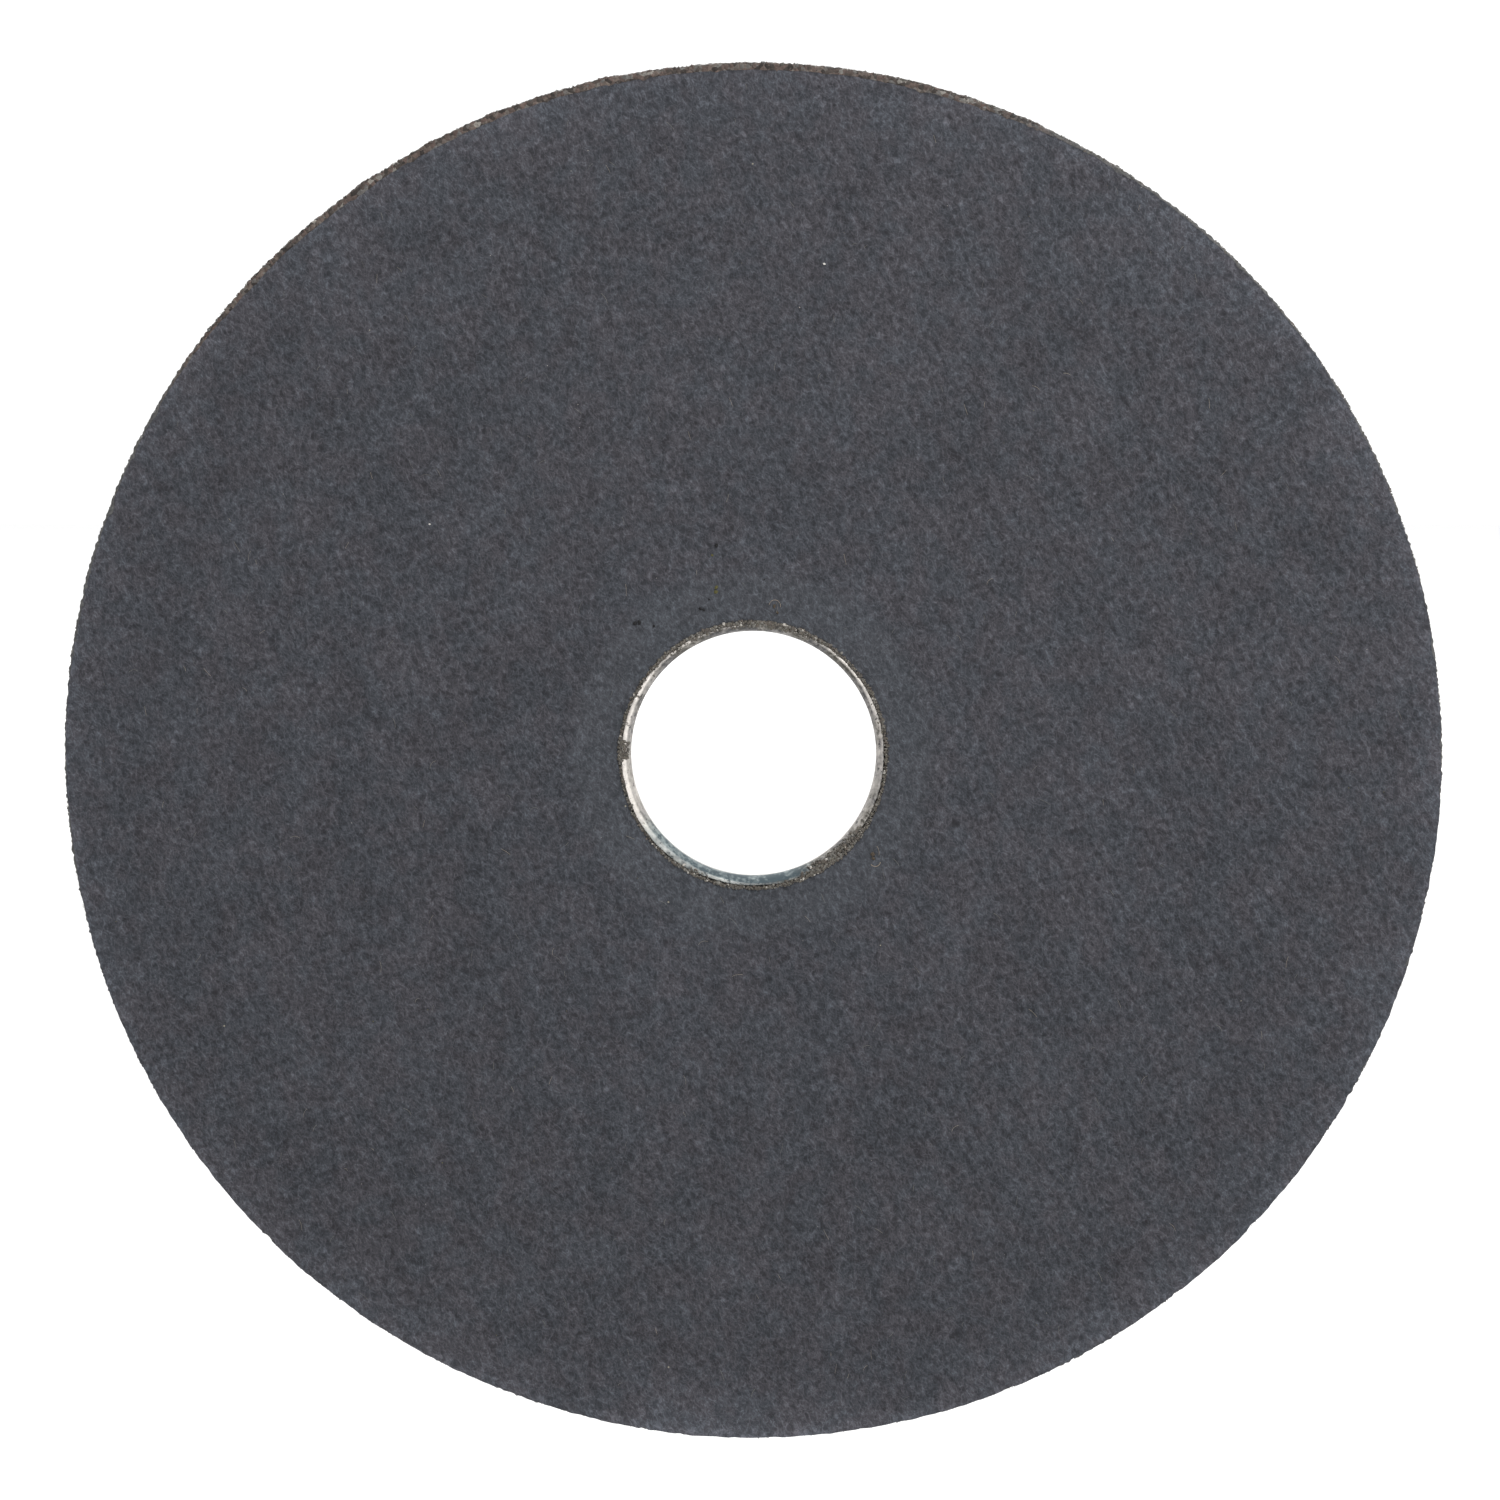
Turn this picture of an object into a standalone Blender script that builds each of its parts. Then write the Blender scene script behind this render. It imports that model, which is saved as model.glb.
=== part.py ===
"""Flat resin-bonded grinding wheel, nominally 125 x 2.5 x 22.23 mm.

The wheel is a stack of pressed layers round a steel bore ring: a dark backing paper, a woven
glass mesh, two charges of abrasive with a smaller glass mesh between them, a second full-size
glass mesh, and a paper label.  It stands upright: its axis is world Y, the backing paper faces
-Y, the label faces +Y, and the origin is the middle of the wheel.

Every piece is turned or cut about its own local Z and hangs on one empty, wheel_axis, which
turns local +Z to world +Y.  Heights below are along that axis.
"""
import math

import bmesh
import bpy
from mathutils import Matrix

MM = 0.001

# Driving dimensions
WHEEL_DIAMETER = 125.2 * MM         # over the tips of the grit at the rim
BORE_DIAMETER = 22.23 * MM          # standard 7/8 inch spindle bore
BODY_THICKNESS = 2.5 * MM           # from the paper's face to the label's face

PAPER_THICKNESS = 0.12 * MM
PAPER_DIAMETER = 124.6 * MM
PAPER_SHIFT_X = 0.06 * MM           # the paper lies a little off the wheel's centre
PAPER_SHIFT_Z = -0.24 * MM
LABEL_DIAMETER = 104.0 * MM

MESH_DIAMETER = 124.2 * MM
MESH_THICKNESS = 0.25 * MM
CENTRE_MESH_DIAMETER = 76.0 * MM
CENTRE_MESH_THICKNESS = 0.20 * MM
STRAND_PITCH = 8.0 * MM
STRAND_WIDTH = 1.8 * MM
BACK_MESH_TURN = math.radians(24.0)
CENTRE_MESH_TURN = math.radians(69.0)
FRONT_MESH_TURN = math.radians(-12.0)

RING_WALL = 0.5 * MM
RING_FLANGE_DIAMETER = 33.0 * MM
RING_FLANGE_THICKNESS = 0.32 * MM
RING_BEND_RADIUS = 0.3 * MM         # where the sleeve turns out into the flange
RING_LIP_FLARE = 0.2 * MM           # how far the back end of the sleeve is opened out
RING_LIP_HEIGHT = 0.45 * MM
RING_LIP_PROUD = 0.15 * MM          # how far that end stands past the paper

LAYER_GAP = 0.03 * MM               # between neighbouring layers of the laminate
RING_GAP = 0.3 * MM                 # round the sleeve
POCKET_GAP = 0.3 * MM               # round the centre mesh in its pocket

TOOL_REACH = 1.0 * MM               # how far a trimming tool stands past the piece it cuts

ROUND_STEPS = 96
RING_STEPS = 72
BEND_STEPS = 3

# Worked out from them
WHEEL_RADIUS = WHEEL_DIAMETER / 2
SLEEVE_INNER = BORE_DIAMETER / 2
SLEEVE_OUTER = SLEEVE_INNER + RING_WALL
LAYER_BORE = SLEEVE_OUTER + RING_LIP_FLARE + RING_GAP
OVERALL_THICKNESS = RING_LIP_PROUD + BODY_THICKNESS + LAYER_GAP + RING_FLANGE_THICKNESS
POCKET_DEPTH = CENTRE_MESH_THICKNESS + LAYER_GAP
POCKET_RADIUS = CENTRE_MESH_DIAMETER / 2 + POCKET_GAP
ABRASIVE_THICKNESS = (BODY_THICKNESS - 2 * PAPER_THICKNESS - 2 * MESH_THICKNESS - 5 * LAYER_GAP) / 2

RING_LOW = -OVERALL_THICKNESS / 2
RING_HIGH = OVERALL_THICKNESS / 2
PAPER_LOW = RING_LOW + RING_LIP_PROUD
BACK_MESH_LOW = PAPER_LOW + PAPER_THICKNESS + LAYER_GAP
BACK_ABRASIVE_LOW = BACK_MESH_LOW + MESH_THICKNESS + LAYER_GAP
FRONT_ABRASIVE_LOW = BACK_ABRASIVE_LOW + ABRASIVE_THICKNESS + LAYER_GAP
CENTRE_MESH_LOW = FRONT_ABRASIVE_LOW
FRONT_MESH_LOW = FRONT_ABRASIVE_LOW + ABRASIVE_THICKNESS + LAYER_GAP
LABEL_LOW = FRONT_MESH_LOW + MESH_THICKNESS + LAYER_GAP


def clear_scene():
    for item in list(bpy.data.objects):
        bpy.data.objects.remove(item, do_unlink=True)


def new_collection(name):
    group = bpy.data.collections.new(name)
    bpy.context.scene.collection.children.link(group)
    return group


def new_material(name, color, roughness, metallic=0.0):
    """A Principled material; the colour is linear RGB."""
    material = bpy.data.materials.new(name)
    material.use_nodes = True
    shader = material.node_tree.nodes["Principled BSDF"]
    shader.inputs["Base Color"].default_value = (*color, 1.0)
    shader.inputs["Roughness"].default_value = roughness
    shader.inputs["Metallic"].default_value = metallic
    material.diffuse_color = (*color, 1.0)
    return material


def place(item, group, height, parent):
    """Put an object on the wheel's axis at a height above the wheel's middle."""
    group.objects.link(item)
    item.parent = parent
    item.location = (0.0, 0.0, height)
    return item


def hide_tool(tool):
    """Mark a cutter or a guide, which is no part of the wheel."""
    tool.hide_render = True
    tool.display_type = "WIRE"
    return tool


def turned(name, profile, steps=ROUND_STEPS):
    """A closed profile of (radius, height) points, turned once about local Z.

    The points run down the outer side, inwards along the bottom and up the bore.
    """
    mesh = bpy.data.meshes.new(name)
    points = [(radius, 0.0, height) for radius, height in profile]
    count = len(points)
    mesh.from_pydata(points, [(i, (i + 1) % count) for i in range(count)], [])
    item = bpy.data.objects.new(name, mesh)
    screw = item.modifiers.new("turn", "SCREW")
    screw.axis = "Z"
    screw.angle = 2 * math.pi
    screw.steps = steps
    screw.render_steps = steps
    screw.use_merge_vertices = True
    screw.merge_threshold = 0.00001
    screw.use_smooth_shade = False
    return item


def washer(name, outer, inner, thickness):
    """A flat ring that rises from local height 0."""
    return turned(name, [(outer, thickness), (outer, 0.0), (inner, 0.0), (inner, thickness)])


def bars(name, reach, thickness, along_x):
    """Parallel strands a pitch apart, each a long box, that rise from local height 0."""
    mesh = bpy.data.meshes.new(name)
    work = bmesh.new()
    count = int(reach // STRAND_PITCH)
    length = 2 * (reach + STRAND_PITCH)
    for index in range(-count, count + 1):
        offset = index * STRAND_PITCH
        if along_x:
            centre, size = (0.0, offset, thickness / 2), (length, STRAND_WIDTH, thickness)
        else:
            centre, size = (offset, 0.0, thickness / 2), (STRAND_WIDTH, length, thickness)
        bmesh.ops.create_cube(work, size=1.0, matrix=Matrix.LocRotScale(centre, None, size))
    work.to_mesh(mesh)
    work.free()
    return bpy.data.objects.new(name, mesh)


def glass_mesh(name, diameter, thickness, height, turn, parts, tools, axis):
    """A woven glass disc: two crossed sets of strands joined, then trimmed to a ring."""
    net = bars(name, diameter / 2, thickness, along_x=False)
    crossing = hide_tool(bars(name + "_crossing", diameter / 2, thickness, along_x=True))
    top, bottom = thickness + TOOL_REACH, -TOOL_REACH
    blank = hide_tool(turned(name + "_blank", [(diameter / 2, top), (diameter / 2, bottom),
                                               (LAYER_BORE, bottom), (LAYER_BORE, top)]))
    for item, group in ((net, parts), (crossing, tools), (blank, tools)):
        place(item, group, height, axis)
        item.rotation_euler = (0.0, 0.0, turn)
    join = net.modifiers.new("join_crossing", "BOOLEAN")
    join.operation = "UNION"
    join.solver = "EXACT"
    join.object = crossing
    trim = net.modifiers.new("trim_to_ring", "BOOLEAN")
    trim.operation = "INTERSECT"
    trim.solver = "EXACT"
    trim.object = blank
    return net


def front_abrasive_profile():
    """A washer with a shallow pocket on its lower face, where the centre mesh lies."""
    return [(WHEEL_RADIUS, ABRASIVE_THICKNESS), (WHEEL_RADIUS, 0.0), (POCKET_RADIUS, 0.0),
            (POCKET_RADIUS, POCKET_DEPTH), (LAYER_BORE, POCKET_DEPTH), (LAYER_BORE, ABRASIVE_THICKNESS)]


def bend(centre, radius, start, end):
    """Points of an arc in the profile's plane, both ends included; angles in degrees."""
    sweep = [math.radians(start + (end - start) * i / BEND_STEPS) for i in range(BEND_STEPS + 1)]
    return [(centre[0] + radius * math.cos(a), centre[1] + radius * math.sin(a)) for a in sweep]


def ring_profile():
    """A drawn steel sleeve: a flange at its upper end and a flared lip at its lower end."""
    flange_radius = RING_FLANGE_DIAMETER / 2
    flange_low = RING_HIGH - RING_FLANGE_THICKNESS
    edge = RING_FLANGE_THICKNESS / 4
    root = (SLEEVE_OUTER + edge, flange_low - edge)
    lip_corner = RING_WALL / 4
    lip_start = RING_LOW + RING_LIP_HEIGHT
    outline = [(flange_radius - edge, RING_HIGH), (flange_radius, RING_HIGH - edge), (flange_radius, flange_low)]
    outline += [(root[0], flange_low), (SLEEVE_OUTER, root[1])]
    outline += [(SLEEVE_OUTER, lip_start), (SLEEVE_OUTER + RING_LIP_FLARE, RING_LOW + lip_corner)]
    outline += [(SLEEVE_OUTER + RING_LIP_FLARE - lip_corner, RING_LOW)]
    outline += [(SLEEVE_INNER + RING_LIP_FLARE, RING_LOW), (SLEEVE_INNER, lip_start)]
    outline += bend((SLEEVE_INNER + RING_BEND_RADIUS, RING_HIGH - RING_BEND_RADIUS),
                    RING_BEND_RADIUS, 180.0, 90.0)
    return outline


def build_wheel():
    clear_scene()
    parts = new_collection("grinding_wheel")
    tools = new_collection("cutters")

    axis = bpy.data.objects.new("wheel_axis", None)
    axis.rotation_euler = (-math.pi / 2, 0.0, 0.0)
    parts.objects.link(axis)

    dark_paper = new_material("dark_backing_paper", (0.069, 0.070, 0.080), 0.85)
    grit = new_material("brown_abrasive", (0.105, 0.062, 0.043), 0.80)
    glass_yarn = new_material("glass_yarn", (0.62, 0.58, 0.48), 0.45)
    label_paper = new_material("label_paper", (0.60, 0.60, 0.58), 0.50)
    tinplate = new_material("tinplate", (0.62, 0.60, 0.56), 0.28, 1.0)

    paper = place(washer("back_paper", PAPER_DIAMETER / 2, LAYER_BORE, PAPER_THICKNESS), parts, PAPER_LOW, axis)
    # Local Y points to world -Z, so the shift along world Z changes sign.
    paper.location = (PAPER_SHIFT_X, -PAPER_SHIFT_Z, PAPER_LOW)
    back_mesh = glass_mesh("back_glass_mesh", MESH_DIAMETER, MESH_THICKNESS, BACK_MESH_LOW,
                           BACK_MESH_TURN, parts, tools, axis)
    back_grit = place(washer("back_abrasive_layer", WHEEL_RADIUS, LAYER_BORE, ABRASIVE_THICKNESS),
                      parts, BACK_ABRASIVE_LOW, axis)
    centre_mesh = glass_mesh("centre_glass_mesh", CENTRE_MESH_DIAMETER, CENTRE_MESH_THICKNESS,
                             CENTRE_MESH_LOW, CENTRE_MESH_TURN, parts, tools, axis)
    front_grit = place(turned("front_abrasive_layer", front_abrasive_profile()),
                       parts, FRONT_ABRASIVE_LOW, axis)
    front_mesh = glass_mesh("front_glass_mesh", MESH_DIAMETER, MESH_THICKNESS, FRONT_MESH_LOW,
                            FRONT_MESH_TURN, parts, tools, axis)
    label = place(washer("front_label", LABEL_DIAMETER / 2, LAYER_BORE, PAPER_THICKNESS),
                  parts, LABEL_LOW, axis)
    ring = place(turned("bore_ring", ring_profile(), RING_STEPS), parts, 0.0, axis)

    finishes = ((paper, dark_paper), (back_mesh, glass_yarn), (back_grit, grit), (centre_mesh, glass_yarn),
                (front_grit, grit), (front_mesh, glass_yarn), (label, label_paper), (ring, tinplate))
    for item, material in finishes:
        item.data.materials.append(material)


build_wheel()
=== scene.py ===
"""Looks for a flat, paper-backed grinding wheel with a pressed metal bore ring.

The wheel stands upright with its axis along Y: the backing paper faces -Y and the label +Y.  Every
new piece is a closed surface worked out with numpy on a grid of angle round the axis by place along
a profile, or a crowd of small lumps, yarns or fibres that share one such formula.
"""
import math
from itertools import product

import bpy
import numpy as np
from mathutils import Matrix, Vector


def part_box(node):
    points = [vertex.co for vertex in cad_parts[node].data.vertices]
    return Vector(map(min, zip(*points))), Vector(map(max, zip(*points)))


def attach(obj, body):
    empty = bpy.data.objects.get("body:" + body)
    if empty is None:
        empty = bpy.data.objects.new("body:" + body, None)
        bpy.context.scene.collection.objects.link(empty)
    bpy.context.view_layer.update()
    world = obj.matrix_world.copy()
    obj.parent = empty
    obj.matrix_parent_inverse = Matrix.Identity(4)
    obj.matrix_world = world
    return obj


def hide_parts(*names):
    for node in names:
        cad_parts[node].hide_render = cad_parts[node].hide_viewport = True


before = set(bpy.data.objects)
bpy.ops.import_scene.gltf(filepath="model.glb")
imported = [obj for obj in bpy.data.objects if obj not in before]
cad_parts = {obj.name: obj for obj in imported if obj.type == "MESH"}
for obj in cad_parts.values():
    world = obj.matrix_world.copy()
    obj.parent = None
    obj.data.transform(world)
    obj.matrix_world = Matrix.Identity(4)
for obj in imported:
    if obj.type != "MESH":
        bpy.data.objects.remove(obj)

MM = 0.001
TURN = 2 * math.pi
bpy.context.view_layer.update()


# ---------------------------------------------------------------- places, read from the frame

def middle(node):
    """Centre of a node's box, across the wheel (X and Z)."""
    low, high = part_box(node)
    return (low.x + high.x) / 2, (low.z + high.z) / 2


def reach(node):
    """Half of a node's width across the wheel."""
    low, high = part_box(node)
    return (high.x - low.x) / 2


PAPER_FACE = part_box("back_paper")[0].y
PAPER_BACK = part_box("back_paper")[1].y
PAPER_RADIUS = reach("back_paper")
PAPER_CENTRE = middle("back_paper")
MESH_BACK_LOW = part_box("back_glass_mesh")[0].y
MESH_BACK_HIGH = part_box("back_glass_mesh")[1].y
GRIT_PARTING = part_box("back_abrasive_layer")[1].y
GRIT_FRONT_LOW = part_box("front_abrasive_layer")[0].y
MESH_FRONT_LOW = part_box("front_glass_mesh")[0].y
MESH_FRONT_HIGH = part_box("front_glass_mesh")[1].y
MESH_RADIUS = reach("front_glass_mesh")
LABEL_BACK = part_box("front_label")[0].y
LABEL_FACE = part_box("front_label")[1].y
LABEL_RADIUS = reach("front_label")
RING_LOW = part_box("bore_ring")[0].y
RING_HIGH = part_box("bore_ring")[1].y
FLANGE_RADIUS = reach("bore_ring")
LIMIT_RADIUS = reach("back_abrasive_layer")
RIM_RADIUS = LIMIT_RADIUS - 0.24 * MM       # the rim's mean radius; the largest knots reach the limit
BORE_RADIUS = 22.23 / 2 * MM
RING_WALL = 0.46 * MM
LAYER_BORE = BORE_RADIUS + 1.0 * MM

BARE_FROM, BARE_TO = 56.0, 150.0             # degrees round from +X, where the paper stops short


# ---------------------------------------------------------------- noise and mesh helpers

def eased(share):
    """A share from 0 to 1 turned into a smooth step: three squares less two cubes of it."""
    return share * share * (3.0 - 2.0 * share)


def cell_number(place):
    """A number from 0 to 4095 for each cell of a cubic lattice, scattered by three large primes."""
    key = (place[..., 0] * 73856093) ^ (place[..., 1] * 19349663) ^ (place[..., 2] * 83492791)
    return key % 4096


def lattice_noise(points, cell, seed):
    """Smooth noise from -1 to 1: random values on a cubic lattice of the given cell, blended by a
    cubic step between the eight corners round each point."""
    table = np.random.default_rng(seed).uniform(-1.0, 1.0, 4096)
    grid = points / cell
    base = np.floor(grid).astype(np.int64)
    part = eased(grid - base)
    total = np.zeros(points.shape[:-1])
    for corner in product((0, 1), repeat=3):
        weight = np.prod(np.where(corner, part, 1.0 - part), axis=-1)
        total += weight * table[cell_number(base + corner)]
    return total


def pebbles(points, cell, seed):
    """Height from 0 to 1 of a bed of round pebbles: one centre drawn in each cubic cell, and the
    height falls with the distance to the nearest centre."""
    draws = np.random.default_rng(seed).uniform(0.15, 0.85, (4096, 3))
    grid = points / cell
    base = np.floor(grid).astype(np.int64)
    nearest = np.full(points.shape[:-1], 9.0)
    for step in product((-1, 0, 1), repeat=3):
        place = base + step
        apart = np.linalg.norm(place + draws[cell_number(place)] - grid, axis=-1)
        nearest = np.minimum(nearest, apart)
    return np.clip(1.0 - nearest, 0.0, 1.0)


def bump_between(angle, start, end, fade):
    """1 between two angles in degrees and 0 outside, with a smooth fade on both sides."""
    rise = np.clip((angle - start) / fade, 0.0, 1.0)
    fall = np.clip((end - angle) / fade, 0.0, 1.0)
    return eased(np.minimum(rise, fall))


def round_bore(degrees, values):
    """A measure in millimetres given every 45 degrees from +X, blended smoothly in between."""
    place = np.mod(degrees / 45.0, 8.0)
    index = np.floor(place).astype(int)
    share = eased(place - index)
    values = np.array(values) * MM
    return values[index % 8] * (1.0 - share) + values[(index + 1) % 8] * share


def ring_lean(degrees):
    """The ring and the paper's hole sit a touch to the right of the middle; added to their radius."""
    return 0.09 * MM * np.cos(np.radians(degrees))


def lip_flare(degrees):
    """How far the ring's lip is opened out."""
    return round_bore(degrees, (0.34, 0.30, 0.27, 0.34, 0.43, 0.53, 0.47, 0.43))


def paper_hole(degrees):
    """Radius of the hole in the backing paper, which clears the lip more at the lower right."""
    extra = round_bore(degrees, (0.60, 0.45, 0.42, 0.43, 0.56, 0.67, 0.68, 0.68))
    return BORE_RADIUS + RING_WALL + ring_lean(degrees) + extra


# angle, height in millimetres and half-width in degrees of each swell or dip of the rim
RIM_SWELLS = ((23.0, 0.03, 0.8), (31.5, 0.05, 1.0), (35.5, 0.04, 0.8), (66.0, 0.06, 1.2),
              (73.0, -0.05, 1.6), (76.5, 0.05, 1.8), (97.0, -0.04, 3.0), (102.5, 0.05, 2.0),
              (102.5, 0.09, 0.5), (112.2, 0.10, 0.6), (114.0, 0.06, 0.7), (118.0, 0.10, 0.7),
              (124.4, 0.13, 1.0), (136.5, 0.06, 1.2), (172.0, 0.05, 2.5))


def rim_bumps(degrees):
    """Low swells and dips of the rim: a bell at each angle of the table."""
    total = 0.0
    for centre, tall, wide in RIM_SWELLS:
        total = total + tall * np.exp(-((degrees - centre) / wide) ** 2)
    return total * MM


def round_axis(steps):
    """Angles in radians at even steps all the way round."""
    return np.arange(steps) * TURN / steps


def on_circle(radius, angle, height):
    """Points at a radius, an angle in radians and a height along the axis."""
    parts = np.broadcast_arrays(radius * np.cos(angle), height, radius * np.sin(angle))
    return np.stack(parts, axis=-1)


def inside_limit(points):
    """The same points, with none further from the axis than the wheel's limit."""
    radius = np.hypot(points[..., 0], points[..., 2])
    keep = np.minimum(1.0, (LIMIT_RADIUS - 0.005 * MM) / np.maximum(radius, 1e-9))
    result = points.copy()
    result[..., 0] *= keep
    result[..., 2] *= keep
    return result


def new_mesh(name, points, faces, smooth=True):
    """A mesh object from an array of points and an array of faces with the same corner count."""
    faces = np.ascontiguousarray(faces, dtype=np.int32)
    corners = faces.shape[1]
    mesh = bpy.data.meshes.new(name)
    mesh.vertices.add(len(points))
    mesh.vertices.foreach_set("co", np.ascontiguousarray(points, dtype=np.float32).ravel())
    mesh.loops.add(faces.size)
    mesh.loops.foreach_set("vertex_index", faces.ravel())
    mesh.polygons.add(len(faces))
    mesh.polygons.foreach_set("loop_start", np.arange(0, faces.size, corners, dtype=np.int32))
    mesh.update(calc_edges=True)
    mesh.validate()
    if smooth:
        mesh.shade_smooth()
    piece = bpy.data.objects.new(name, mesh)
    bpy.context.scene.collection.objects.link(piece)
    return piece


def loop_faces(rows, columns):
    """Quads of a grid that closes on itself both along the profile and round the axis."""
    row = np.arange(rows)[:, None]
    column = np.arange(columns)[None, :]
    below, beside = (row + 1) % rows, (column + 1) % columns
    quads = [row * columns + column, row * columns + beside,
             below * columns + beside, below * columns + column]
    return np.stack(quads, axis=-1).reshape(-1, 4)


def ring_surface(name, grid):
    """A closed ring from points[profile place, angle step]; its faces are turned outwards by the
    sign of the volume that they enclose."""
    faces = loop_faces(*grid.shape[:2])
    points = grid.reshape(-1, 3)
    a, b, c, d = (points[faces[:, corner]] for corner in range(4))
    if np.sum(a * np.cross(b - d, c)) < 0:
        faces = faces[:, ::-1]
    return new_mesh(name, points, faces)


def point_values(piece, name, values):
    """Stores one number a vertex on a piece, for its material to read."""
    layer = piece.data.attributes.new(name, "FLOAT", "POINT")
    layer.data.foreach_set("value", np.ascontiguousarray(values, dtype=np.float32).ravel())


def finish_piece(piece, material, nodes=()):
    """Gives a piece its material and its body, and hides the frame nodes that it stands for."""
    piece.data.materials.append(material)
    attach(piece, "root")
    if nodes:
        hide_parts(*nodes)
    return piece


# ---------------------------------------------------------------- shader helpers

def add(tree, kind, inputs=None, **settings):
    """A node with its settings and inputs; an input is a value or another node's output."""
    item = tree.nodes.new(kind)
    item.location = (200 * (len(tree.nodes) % 12), -260 * (len(tree.nodes) // 12))
    for name, value in settings.items():
        setattr(item, name, value)
    for name, value in (inputs or {}).items():
        socket = item.inputs[name]
        if isinstance(value, bpy.types.NodeSocket):
            tree.links.new(value, socket)
        else:
            socket.default_value = value
    return item


def maths(tree, operation, first, second=0.0, clamp=False):
    """A number worked out from one or two."""
    item = add(tree, "ShaderNodeMath", {0: first, 1: second}, operation=operation, use_clamp=clamp)
    return item.outputs[0]


def blend(tree, share, first, second, mode="MIX"):
    """Two colours mixed by a share."""
    item = add(tree, "ShaderNodeMix", {0: share, 6: first, 7: second}, data_type="RGBA", blend_type=mode)
    return item.outputs[2]


def ramp(tree, value, low, high, low_out=0.0, high_out=1.0, smooth=True):
    """A value carried from one range to another and held inside it."""
    kind = "SMOOTHSTEP" if smooth else "LINEAR"
    item = add(tree, "ShaderNodeMapRange", {0: value, 1: low, 2: high, 3: low_out, 4: high_out},
               interpolation_type=kind)
    return item.outputs[0]


def noise(tree, vector, size, detail=2.0, roughness=0.5):
    """Perlin noise with a cell of the given size in metres, from about 0 to 1."""
    item = add(tree, "ShaderNodeTexNoise",
               {"Vector": vector, "Scale": 1.0 / size, "Detail": detail, "Roughness": roughness})
    return item.outputs[0]


def tinted(tree, tone, colour):
    """A colour multiplied by a grey tone."""
    grey = add(tree, "ShaderNodeCombineColor", {0: tone, 1: tone, 2: tone}).outputs[0]
    return blend(tree, 1.0, colour, grey, "MULTIPLY")


def new_group(name, inputs, outputs):
    """An empty shader group with named inputs (name, kind, default) and outputs (name, kind)."""
    tree = bpy.data.node_groups.new(name, "ShaderNodeTree")
    for label, kind, default in inputs:
        socket = tree.interface.new_socket(name=label, in_out="INPUT", socket_type=kind)
        if default is not None:
            socket.default_value = default
    for label, kind in outputs:
        tree.interface.new_socket(name=label, in_out="OUTPUT", socket_type=kind)
    start = tree.nodes.new("NodeGroupInput")
    end = tree.nodes.new("NodeGroupOutput")
    return tree, start.outputs, end.inputs


def new_material(name):
    """A material and its Principled shader, ready for inputs."""
    material = bpy.data.materials.new(name)
    material.use_nodes = True
    tree = material.node_tree
    return material, tree, tree.nodes["Principled BSDF"]


def object_place(tree):
    """Object coordinates, which are the wheel's own."""
    return add(tree, "ShaderNodeTexCoord").outputs["Object"]


def stored(tree, name):
    """A value that point_values keeps on the piece."""
    return add(tree, "ShaderNodeAttribute", attribute_name=name).outputs["Fac"]


def vector_maths(tree, operation, first, second):
    """A vector worked out from two."""
    return add(tree, "ShaderNodeVectorMath", {0: first, 1: second}, operation=operation).outputs[0]


def bumped(tree, shader, height, depth, strength=1.0):
    """Lets a height from 0 to 1 bend the shading as relief of that depth in metres."""
    item = add(tree, "ShaderNodeBump", {"Height": height, "Distance": depth, "Strength": strength})
    tree.links.new(item.outputs[0], shader.inputs["Normal"])


def axis_distance(tree, vector, centre=(0.0, 0.0)):
    """Distance from the wheel's axis, or from a line parallel to it."""
    moved = vector_maths(tree, "SUBTRACT", vector, (centre[0], 0.0, centre[1]))
    flat = vector_maths(tree, "MULTIPLY", moved, (1.0, 0.0, 1.0))
    return add(tree, "ShaderNodeVectorMath", {0: flat}, operation="LENGTH").outputs["Value"]


# ---------------------------------------------------------------- shared effects

def make_mottle():
    """Cloudy tone round 1: three sizes of noise, each three times the last and weaker."""
    tree, given, result = new_group("mottle", [("Vector", "NodeSocketVector", None),
                                               ("Grain per metre", "NodeSocketFloat", 2000.0),
                                               ("Contrast", "NodeSocketFloat", 0.5)],
                                    [("Tone", "NodeSocketFloat"), ("Height", "NodeSocketFloat")])
    total = None
    for step, weight in ((1.0, 1.0), (3.0, 0.75), (9.0, 0.4)):
        scale = maths(tree, "DIVIDE", given["Grain per metre"], step)
        layer = add(tree, "ShaderNodeTexNoise", {"Vector": given["Vector"], "Scale": scale, "Detail": 1.5,
                                                 "Roughness": 0.6}).outputs[0]
        swing = maths(tree, "MULTIPLY", maths(tree, "SUBTRACT", layer, 0.5), weight)
        total = swing if total is None else maths(tree, "ADD", total, swing)
    tone = maths(tree, "ADD", maths(tree, "MULTIPLY", total, given["Contrast"]), 1.0)
    tree.links.new(tone, result["Tone"])
    tree.links.new(maths(tree, "ADD", total, 0.5), result["Height"])
    return tree


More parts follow.
